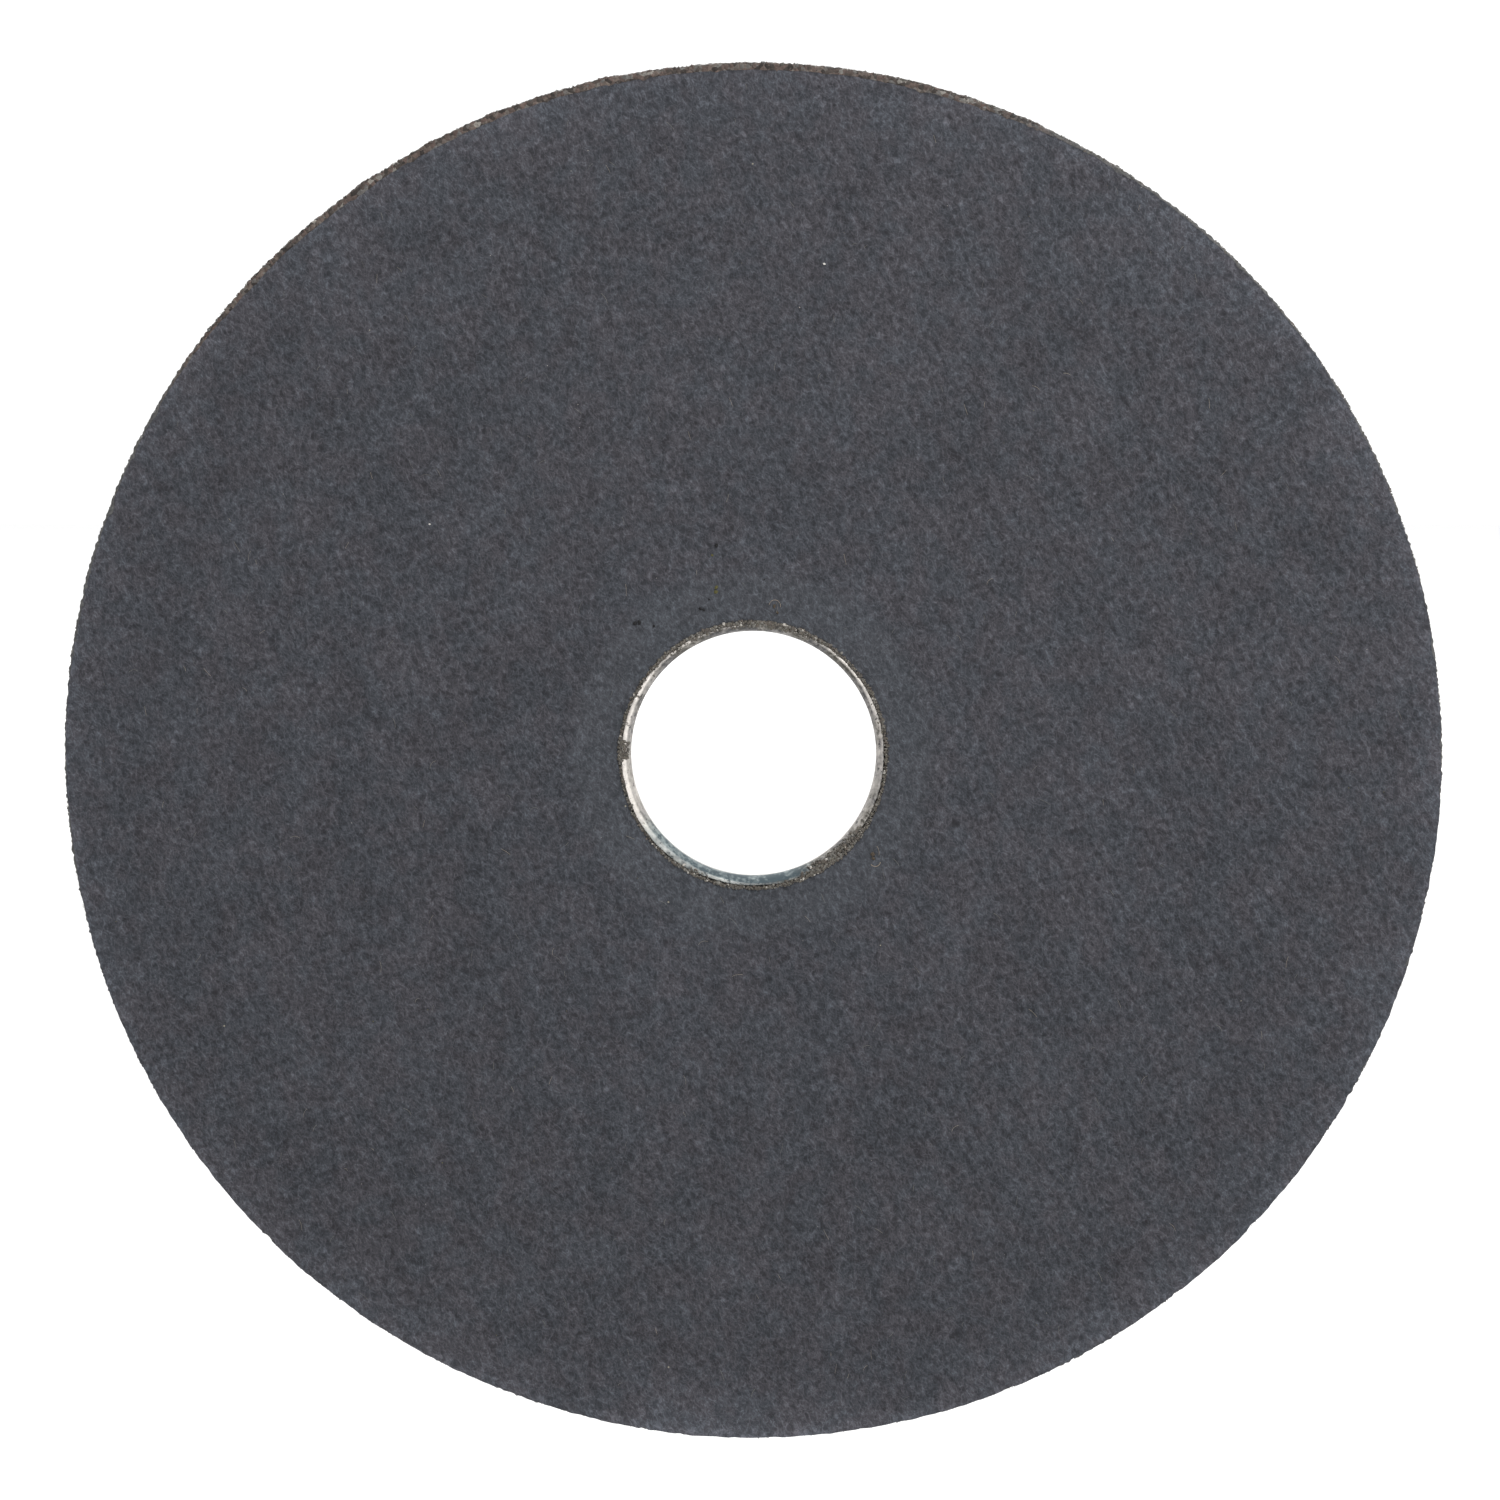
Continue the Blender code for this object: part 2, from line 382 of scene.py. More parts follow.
def make_fibres():
    """Felted fibres as thin crooked lines: the places where each of three bent noises passes its own
    middle value, so that every line is a closed curl, and they lie mostly along one way; plus a grain
    of many sizes between them."""
    tree, given, result = new_group("felted_fibres", [("Vector", "NodeSocketVector", None),
                                                      ("Curl size", "NodeSocketFloat", 0.62 * MM),
                                                      ("Line width", "NodeSocketFloat", 0.10)],
                                    [("Fibres", "NodeSocketFloat"), ("Grain", "NodeSocketFloat")])
    scale = maths(tree, "DIVIDE", 1.0, given["Curl size"])
    total = None
    for index, degrees in enumerate((6.0, 26.0, 56.0)):
        turned = add(tree, "ShaderNodeVectorRotate",
                     {"Vector": given["Vector"], "Angle": math.radians(degrees)},
                     rotation_type="Y_AXIS").outputs[0]
        long_way = vector_maths(tree, "MULTIPLY", turned, (1.25, 1.0, 0.70))
        moved = vector_maths(tree, "ADD", long_way, (0.37 * index, 0.11 * index, 0.0))
        layer = add(tree, "ShaderNodeTexNoise", {"Vector": moved, "Scale": scale, "Detail": 1.2,
                                                 "Roughness": 0.6, "Distortion": 0.7}).outputs[0]
        off = maths(tree, "ABSOLUTE", maths(tree, "SUBTRACT", layer, 0.5))
        crest = maths(tree, "SUBTRACT", 1.0, maths(tree, "DIVIDE", off, given["Line width"]), clamp=True)
        crest = maths(tree, "MULTIPLY", crest, crest)
        total = crest if total is None else maths(tree, "ADD", total, crest)
    tree.links.new(total, result["Fibres"])
    tree.links.new(noise(tree, given["Vector"], 0.74 * MM, 2.4, 0.8), result["Grain"])
    return tree


def make_flecks():
    """Sparse round flecks: Voronoi cells, of which only a share holds a fleck of its own size."""
    tree, given, result = new_group("flecks", [("Vector", "NodeSocketVector", None),
                                               ("Cells per metre", "NodeSocketFloat", 300.0),
                                               ("Share", "NodeSocketFloat", 0.1),
                                               ("Size", "NodeSocketFloat", 0.08)],
                                    [("Flecks", "NodeSocketFloat")])
    cells = add(tree, "ShaderNodeTexVoronoi",
                {"Vector": given["Vector"], "Scale": given["Cells per metre"]})
    draw = add(tree, "ShaderNodeSeparateColor", {0: cells.outputs["Color"]})
    chosen = maths(tree, "LESS_THAN", draw.outputs[0], given["Share"])
    size = maths(tree, "MULTIPLY", draw.outputs[1], given["Size"])
    near = maths(tree, "LESS_THAN", cells.outputs["Distance"], size)
    tree.links.new(maths(tree, "MULTIPLY", chosen, near), result["Flecks"])
    return tree


MOTTLE = make_mottle()
FIBRES = make_fibres()
FLECKS = make_flecks()


def grouped(tree, group, inputs):
    """A shared effect placed in a material; gives its outputs."""
    return add(tree, "ShaderNodeGroup", inputs, node_tree=group).outputs


# ---------------------------------------------------------------- materials

def wire_mark(tree, vector, degrees, period, strength, warp):
    """One set of faint parallel ridges, pressed into the paper by its forming cloth.  degrees is the
    way across the ridges, round from +X towards +Z."""
    angle = math.radians(degrees)
    across = (TURN / period * math.cos(angle), 0.0, TURN / period * math.sin(angle))
    phase = add(tree, "ShaderNodeVectorMath", {0: vector, 1: across},
                operation="DOT_PRODUCT").outputs["Value"]
    wave = maths(tree, "SINE", maths(tree, "ADD", phase, warp))
    return maths(tree, "MULTIPLY", wave, strength)


def backing_paper_material():
    """Dark grey-blue fibrous paper: cloudy tone, forming-cloth marks, pale fibres, a smoother pressed
    collar round the bore and a paler edge, partly scuffed and partly a painted highlight, paler still
    towards the bottom of the rim."""
    material, tree, shader = new_material("dark_backing_paper")
    place = object_place(tree)
    radius = axis_distance(tree, place)
    collar = ramp(tree, radius, 15.2 * MM, 17.6 * MM, 1.0, 0.0)

    felt = grouped(tree, FIBRES, {"Vector": place})
    cloud = ramp(tree, noise(tree, place, 5.5 * MM, 2.0, 0.6), 0.3, 0.7, -0.08, 0.08, smooth=False)
    broad = ramp(tree, noise(tree, place, 17.0 * MM, 1.0), 0.3, 0.7, -0.035, 0.035, smooth=False)
    cloud = maths(tree, "ADD", cloud, broad)
    warp = maths(tree, "MULTIPLY", noise(tree, place, 3.0 * MM), 5.0)
    right = ramp(tree, add(tree, "ShaderNodeSeparateXYZ", {0: place}).outputs[0], -0.02, 0.04, 0.25, 1.0)
    marks = wire_mark(tree, place, 24.5, 0.945 * MM, 0.040, warp)
    marks = maths(tree, "ADD", marks, wire_mark(tree, place, 24.5, 1.89 * MM, 0.030, warp))
    marks = maths(tree, "ADD", marks, wire_mark(tree, place, -66.0, 0.99 * MM, 0.032, warp))
    slant = maths(tree, "MULTIPLY", wire_mark(tree, place, 36.3, 1.09 * MM, 0.065, warp), right)
    marks = maths(tree, "ADD", marks, slant)

    calm = maths(tree, "SUBTRACT", 1.0, maths(tree, "MULTIPLY", collar, 0.15))
    grain = maths(tree, "MULTIPLY", maths(tree, "SUBTRACT", felt["Grain"], 0.5), 1.5)
    lines = maths(tree, "MULTIPLY", maths(tree, "SUBTRACT", felt["Fibres"], 1.0), 0.39)
    swing = maths(tree, "ADD", maths(tree, "ADD", grain, lines), maths(tree, "ADD", cloud, marks))
    swing = maths(tree, "MULTIPLY", swing, calm)
    lift = maths(tree, "MULTIPLY", maths(tree, "MULTIPLY", swing, swing), 0.35)
    tone = maths(tree, "ADD", maths(tree, "ADD", swing, lift), 1.0)
    # painted highlight: the paler edge stands partly for wear and partly for a painted highlight along the
    # rim
    edge = ramp(tree, radius, 55.5 * MM, 62.4 * MM)
    edge = maths(tree, "ADD", maths(tree, "MULTIPLY", edge, 0.17),
                 maths(tree, "MULTIPLY", ramp(tree, radius, 60.9 * MM, 62.4 * MM), 0.22))
    # painted highlight: the edge is made paler still near the bottom of the rim
    below = ramp(tree, axis_distance(tree, place, (0.0, -0.0620)), 5.0 * MM, 16.0 * MM, 1.15, 0.0)
    edge = maths(tree, "MULTIPLY", edge, maths(tree, "ADD", 0.85, below))
    tone = maths(tree, "MULTIPLY", tone, maths(tree, "ADD", 1.0, edge))
    tone = maths(tree, "MULTIPLY", tone, maths(tree, "ADD", 1.0, maths(tree, "MULTIPLY", collar, 0.15)))

    drift = ramp(tree, noise(tree, place, 2.6 * MM, 3.0, 0.65), 0.36, 0.64)
    hue = blend(tree, drift, (0.0427, 0.0457, 0.0533, 1.0), (0.0461, 0.0454, 0.0520, 1.0))
    hue = blend(tree, maths(tree, "MULTIPLY", collar, 0.7), hue, (0.0430, 0.0466, 0.0532, 1.0))
    hue = tinted(tree, tone, hue)
    for cells, share, size, cover, colour in ((420.0, 0.10, 0.16, 0.55, (0.016, 0.015, 0.017, 1.0)),
                                              (520.0, 0.05, 0.13, 0.60, (0.30, 0.275, 0.215, 1.0))):
        flecks = grouped(tree, FLECKS, {"Vector": place, "Cells per metre": cells, "Share": share,
                                        "Size": size})["Flecks"]
        hue = blend(tree, maths(tree, "MULTIPLY", flecks, cover), hue, colour)
    tree.links.new(hue, shader.inputs["Base Color"])
    shader.inputs["Roughness"].default_value = 0.88
    shader.inputs["Specular IOR Level"].default_value = 0.12
    relief = maths(tree, "ADD", felt["Grain"], maths(tree, "MULTIPLY", felt["Fibres"], 0.25))
    bumped(tree, shader, maths(tree, "ADD", relief, maths(tree, "MULTIPLY", marks, 1.5)), 0.03 * MM, 0.8)
    return material


def grit_material():
    """Brown aluminium oxide grit in dark resin: angular cells of many browns, with a few clear and
    a few pale ones, over a cloudy resin."""
    material, tree, shader = new_material("brown_grit_in_resin")
    place = object_place(tree)
    cells = add(tree, "ShaderNodeTexVoronoi", {"Vector": place, "Scale": 1 / (0.42 * MM)})
    draw = add(tree, "ShaderNodeSeparateColor", {0: cells.outputs["Color"]}).outputs[0]
    colours = add(tree, "ShaderNodeValToRGB", {0: draw})
    stops = colours.color_ramp.elements
    stops[0].position, stops[0].color = 0.0, (0.018, 0.014, 0.012, 1.0)
    stops[1].position, stops[1].color = 1.0, (0.18, 0.165, 0.145, 1.0)
    for spot, colour in ((0.25, (0.042, 0.034, 0.029)), (0.5, (0.074, 0.049, 0.041)),
                         (0.75, (0.082, 0.066, 0.055)), (0.92, (0.070, 0.068, 0.065))):
        stops.new(spot).color = (*colour, 1.0)
    cloud = grouped(tree, MOTTLE, {"Vector": place, "Grain per metre": 4200.0, "Contrast": 1.1})
    dust = stored(tree, "dust")
    hue = blend(tree, maths(tree, "MULTIPLY", dust, 0.9), colours.outputs[0], (0.066, 0.067, 0.067, 1.0))
    hue = tinted(tree, cloud["Tone"], hue)
    tree.links.new(hue, shader.inputs["Base Color"])
    rough = ramp(tree, draw, 0.0, 1.0, 0.85, 0.5)
    tree.links.new(rough, shader.inputs["Roughness"])
    shader.inputs["Specular IOR Level"].default_value = 0.35
    relief = maths(tree, "SUBTRACT", cloud["Height"], cells.outputs["Distance"])
    bumped(tree, shader, relief, 0.12 * MM, 0.9)
    return material


def lump_material(name, colours, roughness, specular):
    """Small loose lumps: each takes its colour from its own drawn number, with a cloudy tone."""
    material, tree, shader = new_material(name)
    place = object_place(tree)
    draw = stored(tree, "draw")
    scale = add(tree, "ShaderNodeValToRGB", {0: draw})
    stops = scale.color_ramp.elements
    stops[0].color = (*colours[0], 1.0)
    stops[1].color = (*colours[-1], 1.0)
    for index in range(1, len(colours) - 1):
        stops.new(index / (len(colours) - 1)).color = (*colours[index], 1.0)
    cloud = grouped(tree, MOTTLE, {"Vector": place, "Grain per metre": 9000.0, "Contrast": 0.9})
    tree.links.new(tinted(tree, cloud["Tone"], scale.outputs[0]), shader.inputs["Base Color"])
    shader.inputs["Roughness"].default_value = roughness
    shader.inputs["Specular IOR Level"].default_value = specular
    bumped(tree, shader, cloud["Height"], 0.05 * MM)
    return material


def yarn_material():
    """Resin-soaked glass yarn: fine filaments along the yarn, amber where the resin is thick."""
    material, tree, shader = new_material("resin_soaked_glass_yarn")
    place = object_place(tree)
    across = stored(tree, "across")
    along = stored(tree, "along")
    thread = add(tree, "ShaderNodeCombineXYZ",
                 {0: maths(tree, "MULTIPLY", across, 26.0),
                  1: maths(tree, "MULTIPLY", along, 1400.0)}).outputs[0]
    filament = noise(tree, thread, 1.0, 1.0)
    cloud = grouped(tree, MOTTLE, {"Vector": place, "Grain per metre": 1500.0, "Contrast": 0.8})
    soaked = ramp(tree, cloud["Height"], 0.35, 0.65)
    hue = blend(tree, soaked, (0.34, 0.31, 0.25, 1.0), (0.15, 0.11, 0.070, 1.0))
    hue = tinted(tree, ramp(tree, filament, 0.3, 0.7, 0.65, 1.25), hue)
    tree.links.new(hue, shader.inputs["Base Color"])
    shader.inputs["Roughness"].default_value = 0.42
    bumped(tree, shader, filament, 0.03 * MM, 0.8)
    return material


def fibre_end_material():
    """Broken pale glass fibre at the rim."""
    material, tree, shader = new_material("broken_glass_fibre")
    place = object_place(tree)
    cloud = grouped(tree, MOTTLE, {"Vector": place, "Grain per metre": 3000.0, "Contrast": 0.9})
    tree.links.new(tinted(tree, cloud["Tone"], (0.34, 0.33, 0.30, 1.0)), shader.inputs["Base Color"])
    shader.inputs["Roughness"].default_value = 0.35
    return material


def tinplate_material():
    """Bright drawn tinplate: fine turning lines round the bore, and a dull stain of baked resin mixed
    with painted shade where the value on the piece says so, warm on top and a painted blue-green reflection
    below."""
    material, tree, shader = new_material("drawn_tinplate")
    place = object_place(tree)
    resin_film_and_painted_shade = stored(tree, "resin_film_and_painted_shade")
    painted_teal_reflection = stored(tree, "painted_teal_reflection")
    cloud = grouped(tree, MOTTLE, {"Vector": place, "Grain per metre": 2500.0, "Contrast": 1.0})
    lip = stored(tree, "lip")
    uneven = maths(tree, "MULTIPLY", maths(tree, "SUBTRACT", cloud["Tone"], 1.0), 0.60)
    scuff = ramp(tree, noise(tree, place, 0.55 * MM, 3.0, 0.7), 0.56, 0.70, 0.0, 0.55)
    worn = ramp(tree, lip, 0.0, 1.0, 0.3, 1.0)
    marks = maths(tree, "MULTIPLY", maths(tree, "ADD", scuff, uneven), worn)
    # painted shade: the stored value darkens the metal partly as real resin stain and scuffs and partly as
    # painted shade
    stain_and_painted_shade = maths(tree, "ADD", resin_film_and_painted_shade, marks, clamp=True)
    lilac = ramp(tree, noise(tree, place, 1.8 * MM), 0.42, 0.58)
    stain = blend(tree, lilac, (0.058, 0.054, 0.045, 1.0), (0.070, 0.068, 0.069, 1.0))
    # painted reflection: the stain and the bare metal are tinted blue-green on the lower part of the lip
    stain = blend(tree, painted_teal_reflection, stain, (0.048, 0.068, 0.078, 1.0))
    clean = blend(tree, painted_teal_reflection, (0.86, 0.81, 0.755, 1.0), (0.72, 0.80, 0.78, 1.0))
    hue = blend(tree, stain_and_painted_shade, clean, stain)
    tree.links.new(hue, shader.inputs["Base Color"])
    metal = maths(tree, "MULTIPLY", ramp(tree, lip, 0.0, 1.0, 0.95, 0.45, smooth=False),
                  ramp(tree, stain_and_painted_shade, 0.0, 1.0, 1.0, 0.6))
    tree.links.new(metal, shader.inputs["Metallic"])
    tree.links.new(ramp(tree, stain_and_painted_shade, 0.0, 1.0, 0.30, 0.60), shader.inputs["Roughness"])
    shader.inputs["Specular IOR Level"].default_value = 0.3
    drawn_out = vector_maths(tree, "MULTIPLY", place, (300.0, 26000.0, 300.0))
    lines = noise(tree, drawn_out, 1.0)
    bumped(tree, shader, maths(tree, "ADD", lines, cloud["Height"]), 0.012 * MM, 0.6)
    return material


def label_material():
    """Printed label paper: a pale ground, two plain colour bands, thin rings and two curved arrows
    that show the way of turning, all under a faint weave and paper fibres."""
    material, tree, shader = new_material("printed_label")
    place = object_place(tree)
    radius = axis_distance(tree, place)
    parts = add(tree, "ShaderNodeSeparateXYZ", {0: place})
    angle = maths(tree, "ARCTAN2", parts.outputs[2], parts.outputs[0])

    def band(inner, outer):
        above = maths(tree, "GREATER_THAN", radius, inner)
        return maths(tree, "MULTIPLY", above, maths(tree, "LESS_THAN", radius, outer))

    ground = (0.47, 0.46, 0.43, 1.0)
    ink = (0.035, 0.040, 0.047, 1.0)
    hue = blend(tree, band(40.0 * MM, 50.4 * MM), ground, ink)
    hue = blend(tree, band(20.5 * MM, 27.0 * MM), hue, (0.03, 0.17, 0.19, 1.0))
    for ring in (38.6, 28.4, 51.2, 18.9):
        hue = blend(tree, band(ring * MM, (ring + 0.35) * MM), hue, ink)

    turn = maths(tree, "FRACT", maths(tree, "DIVIDE", maths(tree, "ADD", angle, TURN), math.pi))
    off = maths(tree, "ABSOLUTE", maths(tree, "SUBTRACT", radius, 45.2 * MM))
    shaft = maths(tree, "MULTIPLY", maths(tree, "LESS_THAN", off, 0.9 * MM),
                  maths(tree, "MULTIPLY", maths(tree, "GREATER_THAN", turn, 0.33),
                        maths(tree, "LESS_THAN", turn, 0.62)))
    tip, shoulder, slope = 0.285, 0.335, 0.055
    spread = maths(tree, "SUBTRACT", shoulder - tip, maths(tree, "SUBTRACT", shoulder, turn))
    head = maths(tree, "MULTIPLY", maths(tree, "GREATER_THAN", turn, tip),
                 maths(tree, "LESS_THAN", off, maths(tree, "MULTIPLY", spread, slope)))
    head = maths(tree, "MULTIPLY", head, maths(tree, "LESS_THAN", turn, shoulder))
    hue = blend(tree, maths(tree, "MAXIMUM", shaft, head), hue, (0.62, 0.36, 0.06, 1.0))

    cloud = grouped(tree, MOTTLE, {"Vector": place, "Grain per metre": 1500.0, "Contrast": 0.30})
    fibres = grouped(tree, FIBRES, {"Vector": place, "Curl size": 1.4 * MM})["Fibres"]
    worn = ramp(tree, noise(tree, place, 1.2 * MM, 4.0, 0.7), 0.62, 0.72)
    hue = blend(tree, maths(tree, "MULTIPLY", worn, 0.5), hue, (0.40, 0.39, 0.36, 1.0))
    hue = tinted(tree, cloud["Tone"], hue)
    tree.links.new(hue, shader.inputs["Base Color"])
    tree.links.new(ramp(tree, cloud["Height"], 0.2, 0.8, 0.42, 0.60), shader.inputs["Roughness"])
    relief = maths(tree, "ADD", cloud["Height"], maths(tree, "MULTIPLY", fibres, 0.4))
    bumped(tree, shader, relief, 0.02 * MM, 0.7)
    return material


def floor_material():
    """Plain pale studio floor."""
    material, tree, shader = new_material("pale_floor")
    place = object_place(tree)
    tone = ramp(tree, noise(tree, place, 0.4, 2.0), 0.3, 0.7, 0.985, 1.0)
    tree.links.new(tinted(tree, tone, (0.95, 0.95, 0.95, 1.0)), shader.inputs["Base Color"])
    shader.inputs["Roughness"].default_value = 0.9
    shader.inputs["Specular IOR Level"].default_value = 0.0
    return material


# ---------------------------------------------------------------- paper and label

def sheet_rows(face, back, inner, outer, spacing):
    """Profile of a thin paper ring as radius and height grids: along the front from the bore to the
    rim, over the outer edge, back along the hidden side and up the inner edge.  spacing holds the
    front rows' shares of the way out, from 0 to 1."""
    bulge = 0.01 * MM                        # how far the middle of a cut edge stands out
    halfway = (face + back) / 2
    radius = np.concatenate([inner + (outer - inner) * spacing[:, None],
                             [outer + bulge, outer, inner, inner - bulge]])
    levels = [face] * len(spacing) + [halfway, back, back, halfway]
    return radius, np.array(levels)[:, None] + 0.0 * radius


def edge_spacing(count, close):
    """Shares from 0 to 1, closer together near both ends."""
    even = np.linspace(0.0, 1.0, count)
    return even - close * np.sin(TURN * even) / TURN


def make_backing_paper(material):
    """The dark paper.  Its outer edge is its radius round its own centre, held inside the rim, less a
    stretch rubbed back along the top, plus small tears; its face is a plane with a shallow pressed
    collar, slow swells and an edge that turns down over the rim."""
    steps, rows = 1440, 62
    rubbed_back, collar_radius = 0.32 * MM, 16.9 * MM
    angle = round_axis(steps)
    degrees = np.degrees(angle)
    spot = on_circle(RIM_RADIUS, angle, 0.0)
    shift = PAPER_CENTRE[0] * np.cos(angle) + PAPER_CENTRE[1] * np.sin(angle)
    bare = bump_between(degrees, BARE_FROM, BARE_TO, 17.0)
    tear = 0.050 * lattice_noise(spot, 0.55 * MM, 11) + 0.045 * lattice_noise(spot, 1.7 * MM, 12)
    tear += 0.060 * lattice_noise(spot, 7.0 * MM, 13)
    nibble = np.clip(lattice_noise(spot, 1.1 * MM, 14) - 0.55, 0.0, 1.0) * 0.5
    outer = PAPER_RADIUS + shift
    outer = np.minimum(outer, RIM_RADIUS + 0.02 * MM) - bare * rubbed_back + (tear - nibble) * MM
    outer += rim_bumps(degrees) * (1.0 - bare)
    outer = np.minimum(outer, LIMIT_RADIUS - 0.01 * MM)
    hole = on_circle(LAYER_BORE, angle, 0.0)
    fray = 0.07 * lattice_noise(hole, 0.35 * MM, 15) + 0.10 * lattice_noise(hole, 1.2 * MM, 16)
    inner = paper_hole(degrees) + 0.8 * fray * MM

    spacing = edge_spacing(rows, 0.75)
    radius, height = sheet_rows(PAPER_FACE, PAPER_BACK, inner, outer, spacing)
    face = np.s_[:rows]
    where = on_circle(radius[face], angle[None, :], 0.0)
    swell = 0.020 * lattice_noise(where, 6.0 * MM, 17) + 0.012 * lattice_noise(where, 2.2 * MM, 18)
    collar = 0.045 * np.clip((collar_radius - radius[face]) / (0.6 * MM), 0.0, 1.0)
    turned = 0.05 * np.clip(1.0 - (outer[None, :] - radius[face]) / (0.5 * MM), 0.0, 1.0) ** 2
    lifted = 0.06 * np.clip(1.0 - (radius[face] - inner[None, :]) / (0.9 * MM), 0.0, 1.0) ** 2
    lifted = lifted * (0.5 + lattice_noise(where, 1.4 * MM, 19))
    height[face] += (0.02 + swell + collar + turned - lifted) * MM
    piece = ring_surface("dark_backing_paper", on_circle(radius, angle[None, :], height))
    return finish_piece(piece, material, ["back_paper"])


def weave_relief(where, turn, pitch, width):
    """Height from 0 to 1 of a square glass weave seen through paper: a rounded ridge along each yarn
    of two crossed sets."""
    along = where[..., 0] * math.cos(turn) + where[..., 2] * math.sin(turn)
    across = -where[..., 0] * math.sin(turn) + where[..., 2] * math.cos(turn)
    ridges = []
    for place in (along, across):
        off = np.abs((place / pitch + 0.5) % 1.0 - 0.5) * pitch
        ridges.append(np.exp(-(off / width) ** 2))
    return np.maximum(*ridges)


def make_label(material):
    """The label: the same thin ring with a cleaner edge, lifted by the weave below it."""
    steps, rows = 1080, 80
    angle = round_axis(steps)
    spot = on_circle(LABEL_RADIUS, angle, 0.0)
    outer = LABEL_RADIUS - 0.06 * MM + 0.05 * MM * lattice_noise(spot, 2.5 * MM, 31)
    inner = np.full(steps, LAYER_BORE + 0.1 * MM)
    spacing = np.linspace(0.0, 1.0, rows)
    radius, height = sheet_rows(LABEL_FACE, LABEL_BACK, inner, outer, spacing)
    face = np.s_[:rows]
    where = on_circle(radius[face], angle[None, :], 0.0)
    press = weave_relief(where, FRONT_WEAVE_TURN, WEAVE_PITCH, 0.8 * MM)
    sag = 0.055 * (1.0 - press) + 0.012 * (1.0 + lattice_noise(where, 2.0 * MM, 32))
    turned = 0.04 * np.clip(1.0 - (outer[None, :] - radius[face]) / (0.4 * MM), 0.0, 1.0) ** 2
    height[face] -= np.minimum(sag + turned, 0.1) * MM
    piece = ring_surface("paper_label", on_circle(radius, angle[None, :], height))
    return finish_piece(piece, material, ["front_label"])


# ---------------------------------------------------------------- abrasive

def rough_ring(name, profile, weights, steps, seed):
    """A closed ring turned from a profile of (radius, height) points and then roughened: each point
    moves along the profile's outward normal by a bed of pebbles of two sizes times its weight."""
    profile = np.array(profile)
    weights = np.array(weights)[:, None]
    along = np.roll(profile, -1, axis=0) - np.roll(profile, 1, axis=0)
    along /= np.maximum(np.linalg.norm(along, axis=1, keepdims=True), 1e-12)
    outward = np.stack([along[:, 1], -along[:, 0]], axis=1)
    after = np.roll(profile, -1, axis=0)
    area = np.sum(profile[:, 0] * after[:, 1] - after[:, 0] * profile[:, 1])
    if area < 0:
        outward = -outward
    angle = round_axis(steps)
    base = on_circle(profile[:, :1] + 0.0 * angle, angle[None, :], profile[:, 1:])
    stones = pebbles(base, 0.62 * MM, seed) - 0.5
    specks = lattice_noise(base, 0.24 * MM, seed + 1)
    swell = lattice_noise(base, 5.0 * MM, seed + 2) + lattice_noise(base, 2.3 * MM, seed + 3)
    push = weights * ((0.30 * stones + 0.045 * specks + 0.05 * swell) * MM + rim_bumps(np.degrees(angle)))
    radius = profile[:, :1] + push * outward[:, :1]
    height = profile[:, 1:] + push * outward[:, 1:]
    piece = ring_surface(name, inside_limit(on_circle(radius, angle[None, :], height)))
    near_paper = np.clip((PAPER_BACK + 0.42 * MM - profile[:, 1:]) / (0.2 * MM), 0.0, 1.0)
    point_values(piece, "dust", near_paper * (1.0 - bump_between(np.degrees(angle), 60.0, 152.0, 10.0)))
    return piece


def line(start, end, count, weight):
    """Evenly spaced profile points from start up to, not including, end, and their weights."""
    share = np.arange(count)[:, None] / count
    points = np.array(start) + (np.array(end) - np.array(start)) * share
    return [tuple(p) for p in points], [weight] * count


def joined(*runs):
    """Several runs of profile points, with their weights, as one."""
    points, weights = [], []
    for run_points, run_weights in runs:
        points += run_points
        weights += run_weights
    return points, weights


def make_back_abrasive(material):
    """The back charge of grit, from the paper down to the parting, with the glass mesh sunk in it.
    Only its rim and the margin that the paper leaves bare are finely divided."""
    low, high = MESH_BACK_LOW - 0.02 * MM, GRIT_PARTING
    round_off = 0.12 * MM
    margin = 60.4 * MM
    points, weights = joined(
        line((LAYER_BORE, high), (LAYER_BORE, low), 4, 0.15),
        line((LAYER_BORE, low), (margin, low), 10, 0.0),
        line((margin, low - 0.035 * MM), (RIM_RADIUS - round_off, low - 0.035 * MM), 10, 0.24),
        line((RIM_RADIUS - round_off, low - 0.03 * MM), (RIM_RADIUS, low + round_off), 3, 0.5),
        line((RIM_RADIUS, low + round_off), (RIM_RADIUS, high - 0.03 * MM), 8, 0.9),
        line((RIM_RADIUS - 0.05 * MM, high), (LAYER_BORE, high), 3, 0.0))
    piece = rough_ring("back_grit", points, weights, 2400, 41)
    return finish_piece(piece, material, ["back_abrasive_layer"])


def make_front_abrasive(material):
    """The front charge of grit, from the parting up to half way through the front glass mesh, which
    shows round the label."""
    low, high = GRIT_FRONT_LOW - 0.02 * MM, (MESH_FRONT_LOW + MESH_FRONT_HIGH) / 2
    round_off = 0.25 * MM
    margin = LABEL_RADIUS - 0.8 * MM
    under = MESH_FRONT_LOW
    points, weights = joined(
        line((LAYER_BORE, low), (RIM_RADIUS - 0.05 * MM, low), 4, 0.0),
        line((RIM_RADIUS, low + 0.04 * MM), (RIM_RADIUS, high - round_off), 8, 1.0),
        line((RIM_RADIUS, high - round_off), (RIM_RADIUS - round_off, high), 3, 0.9),
        line((RIM_RADIUS - round_off, high), (margin, high), 38, 0.62),
        line((margin - 0.2 * MM, under), (LAYER_BORE, under), 4, 0.0))
    piece = rough_ring("front_grit", points, weights, 1600, 51)
    return finish_piece(piece, material, ["front_abrasive_layer"])


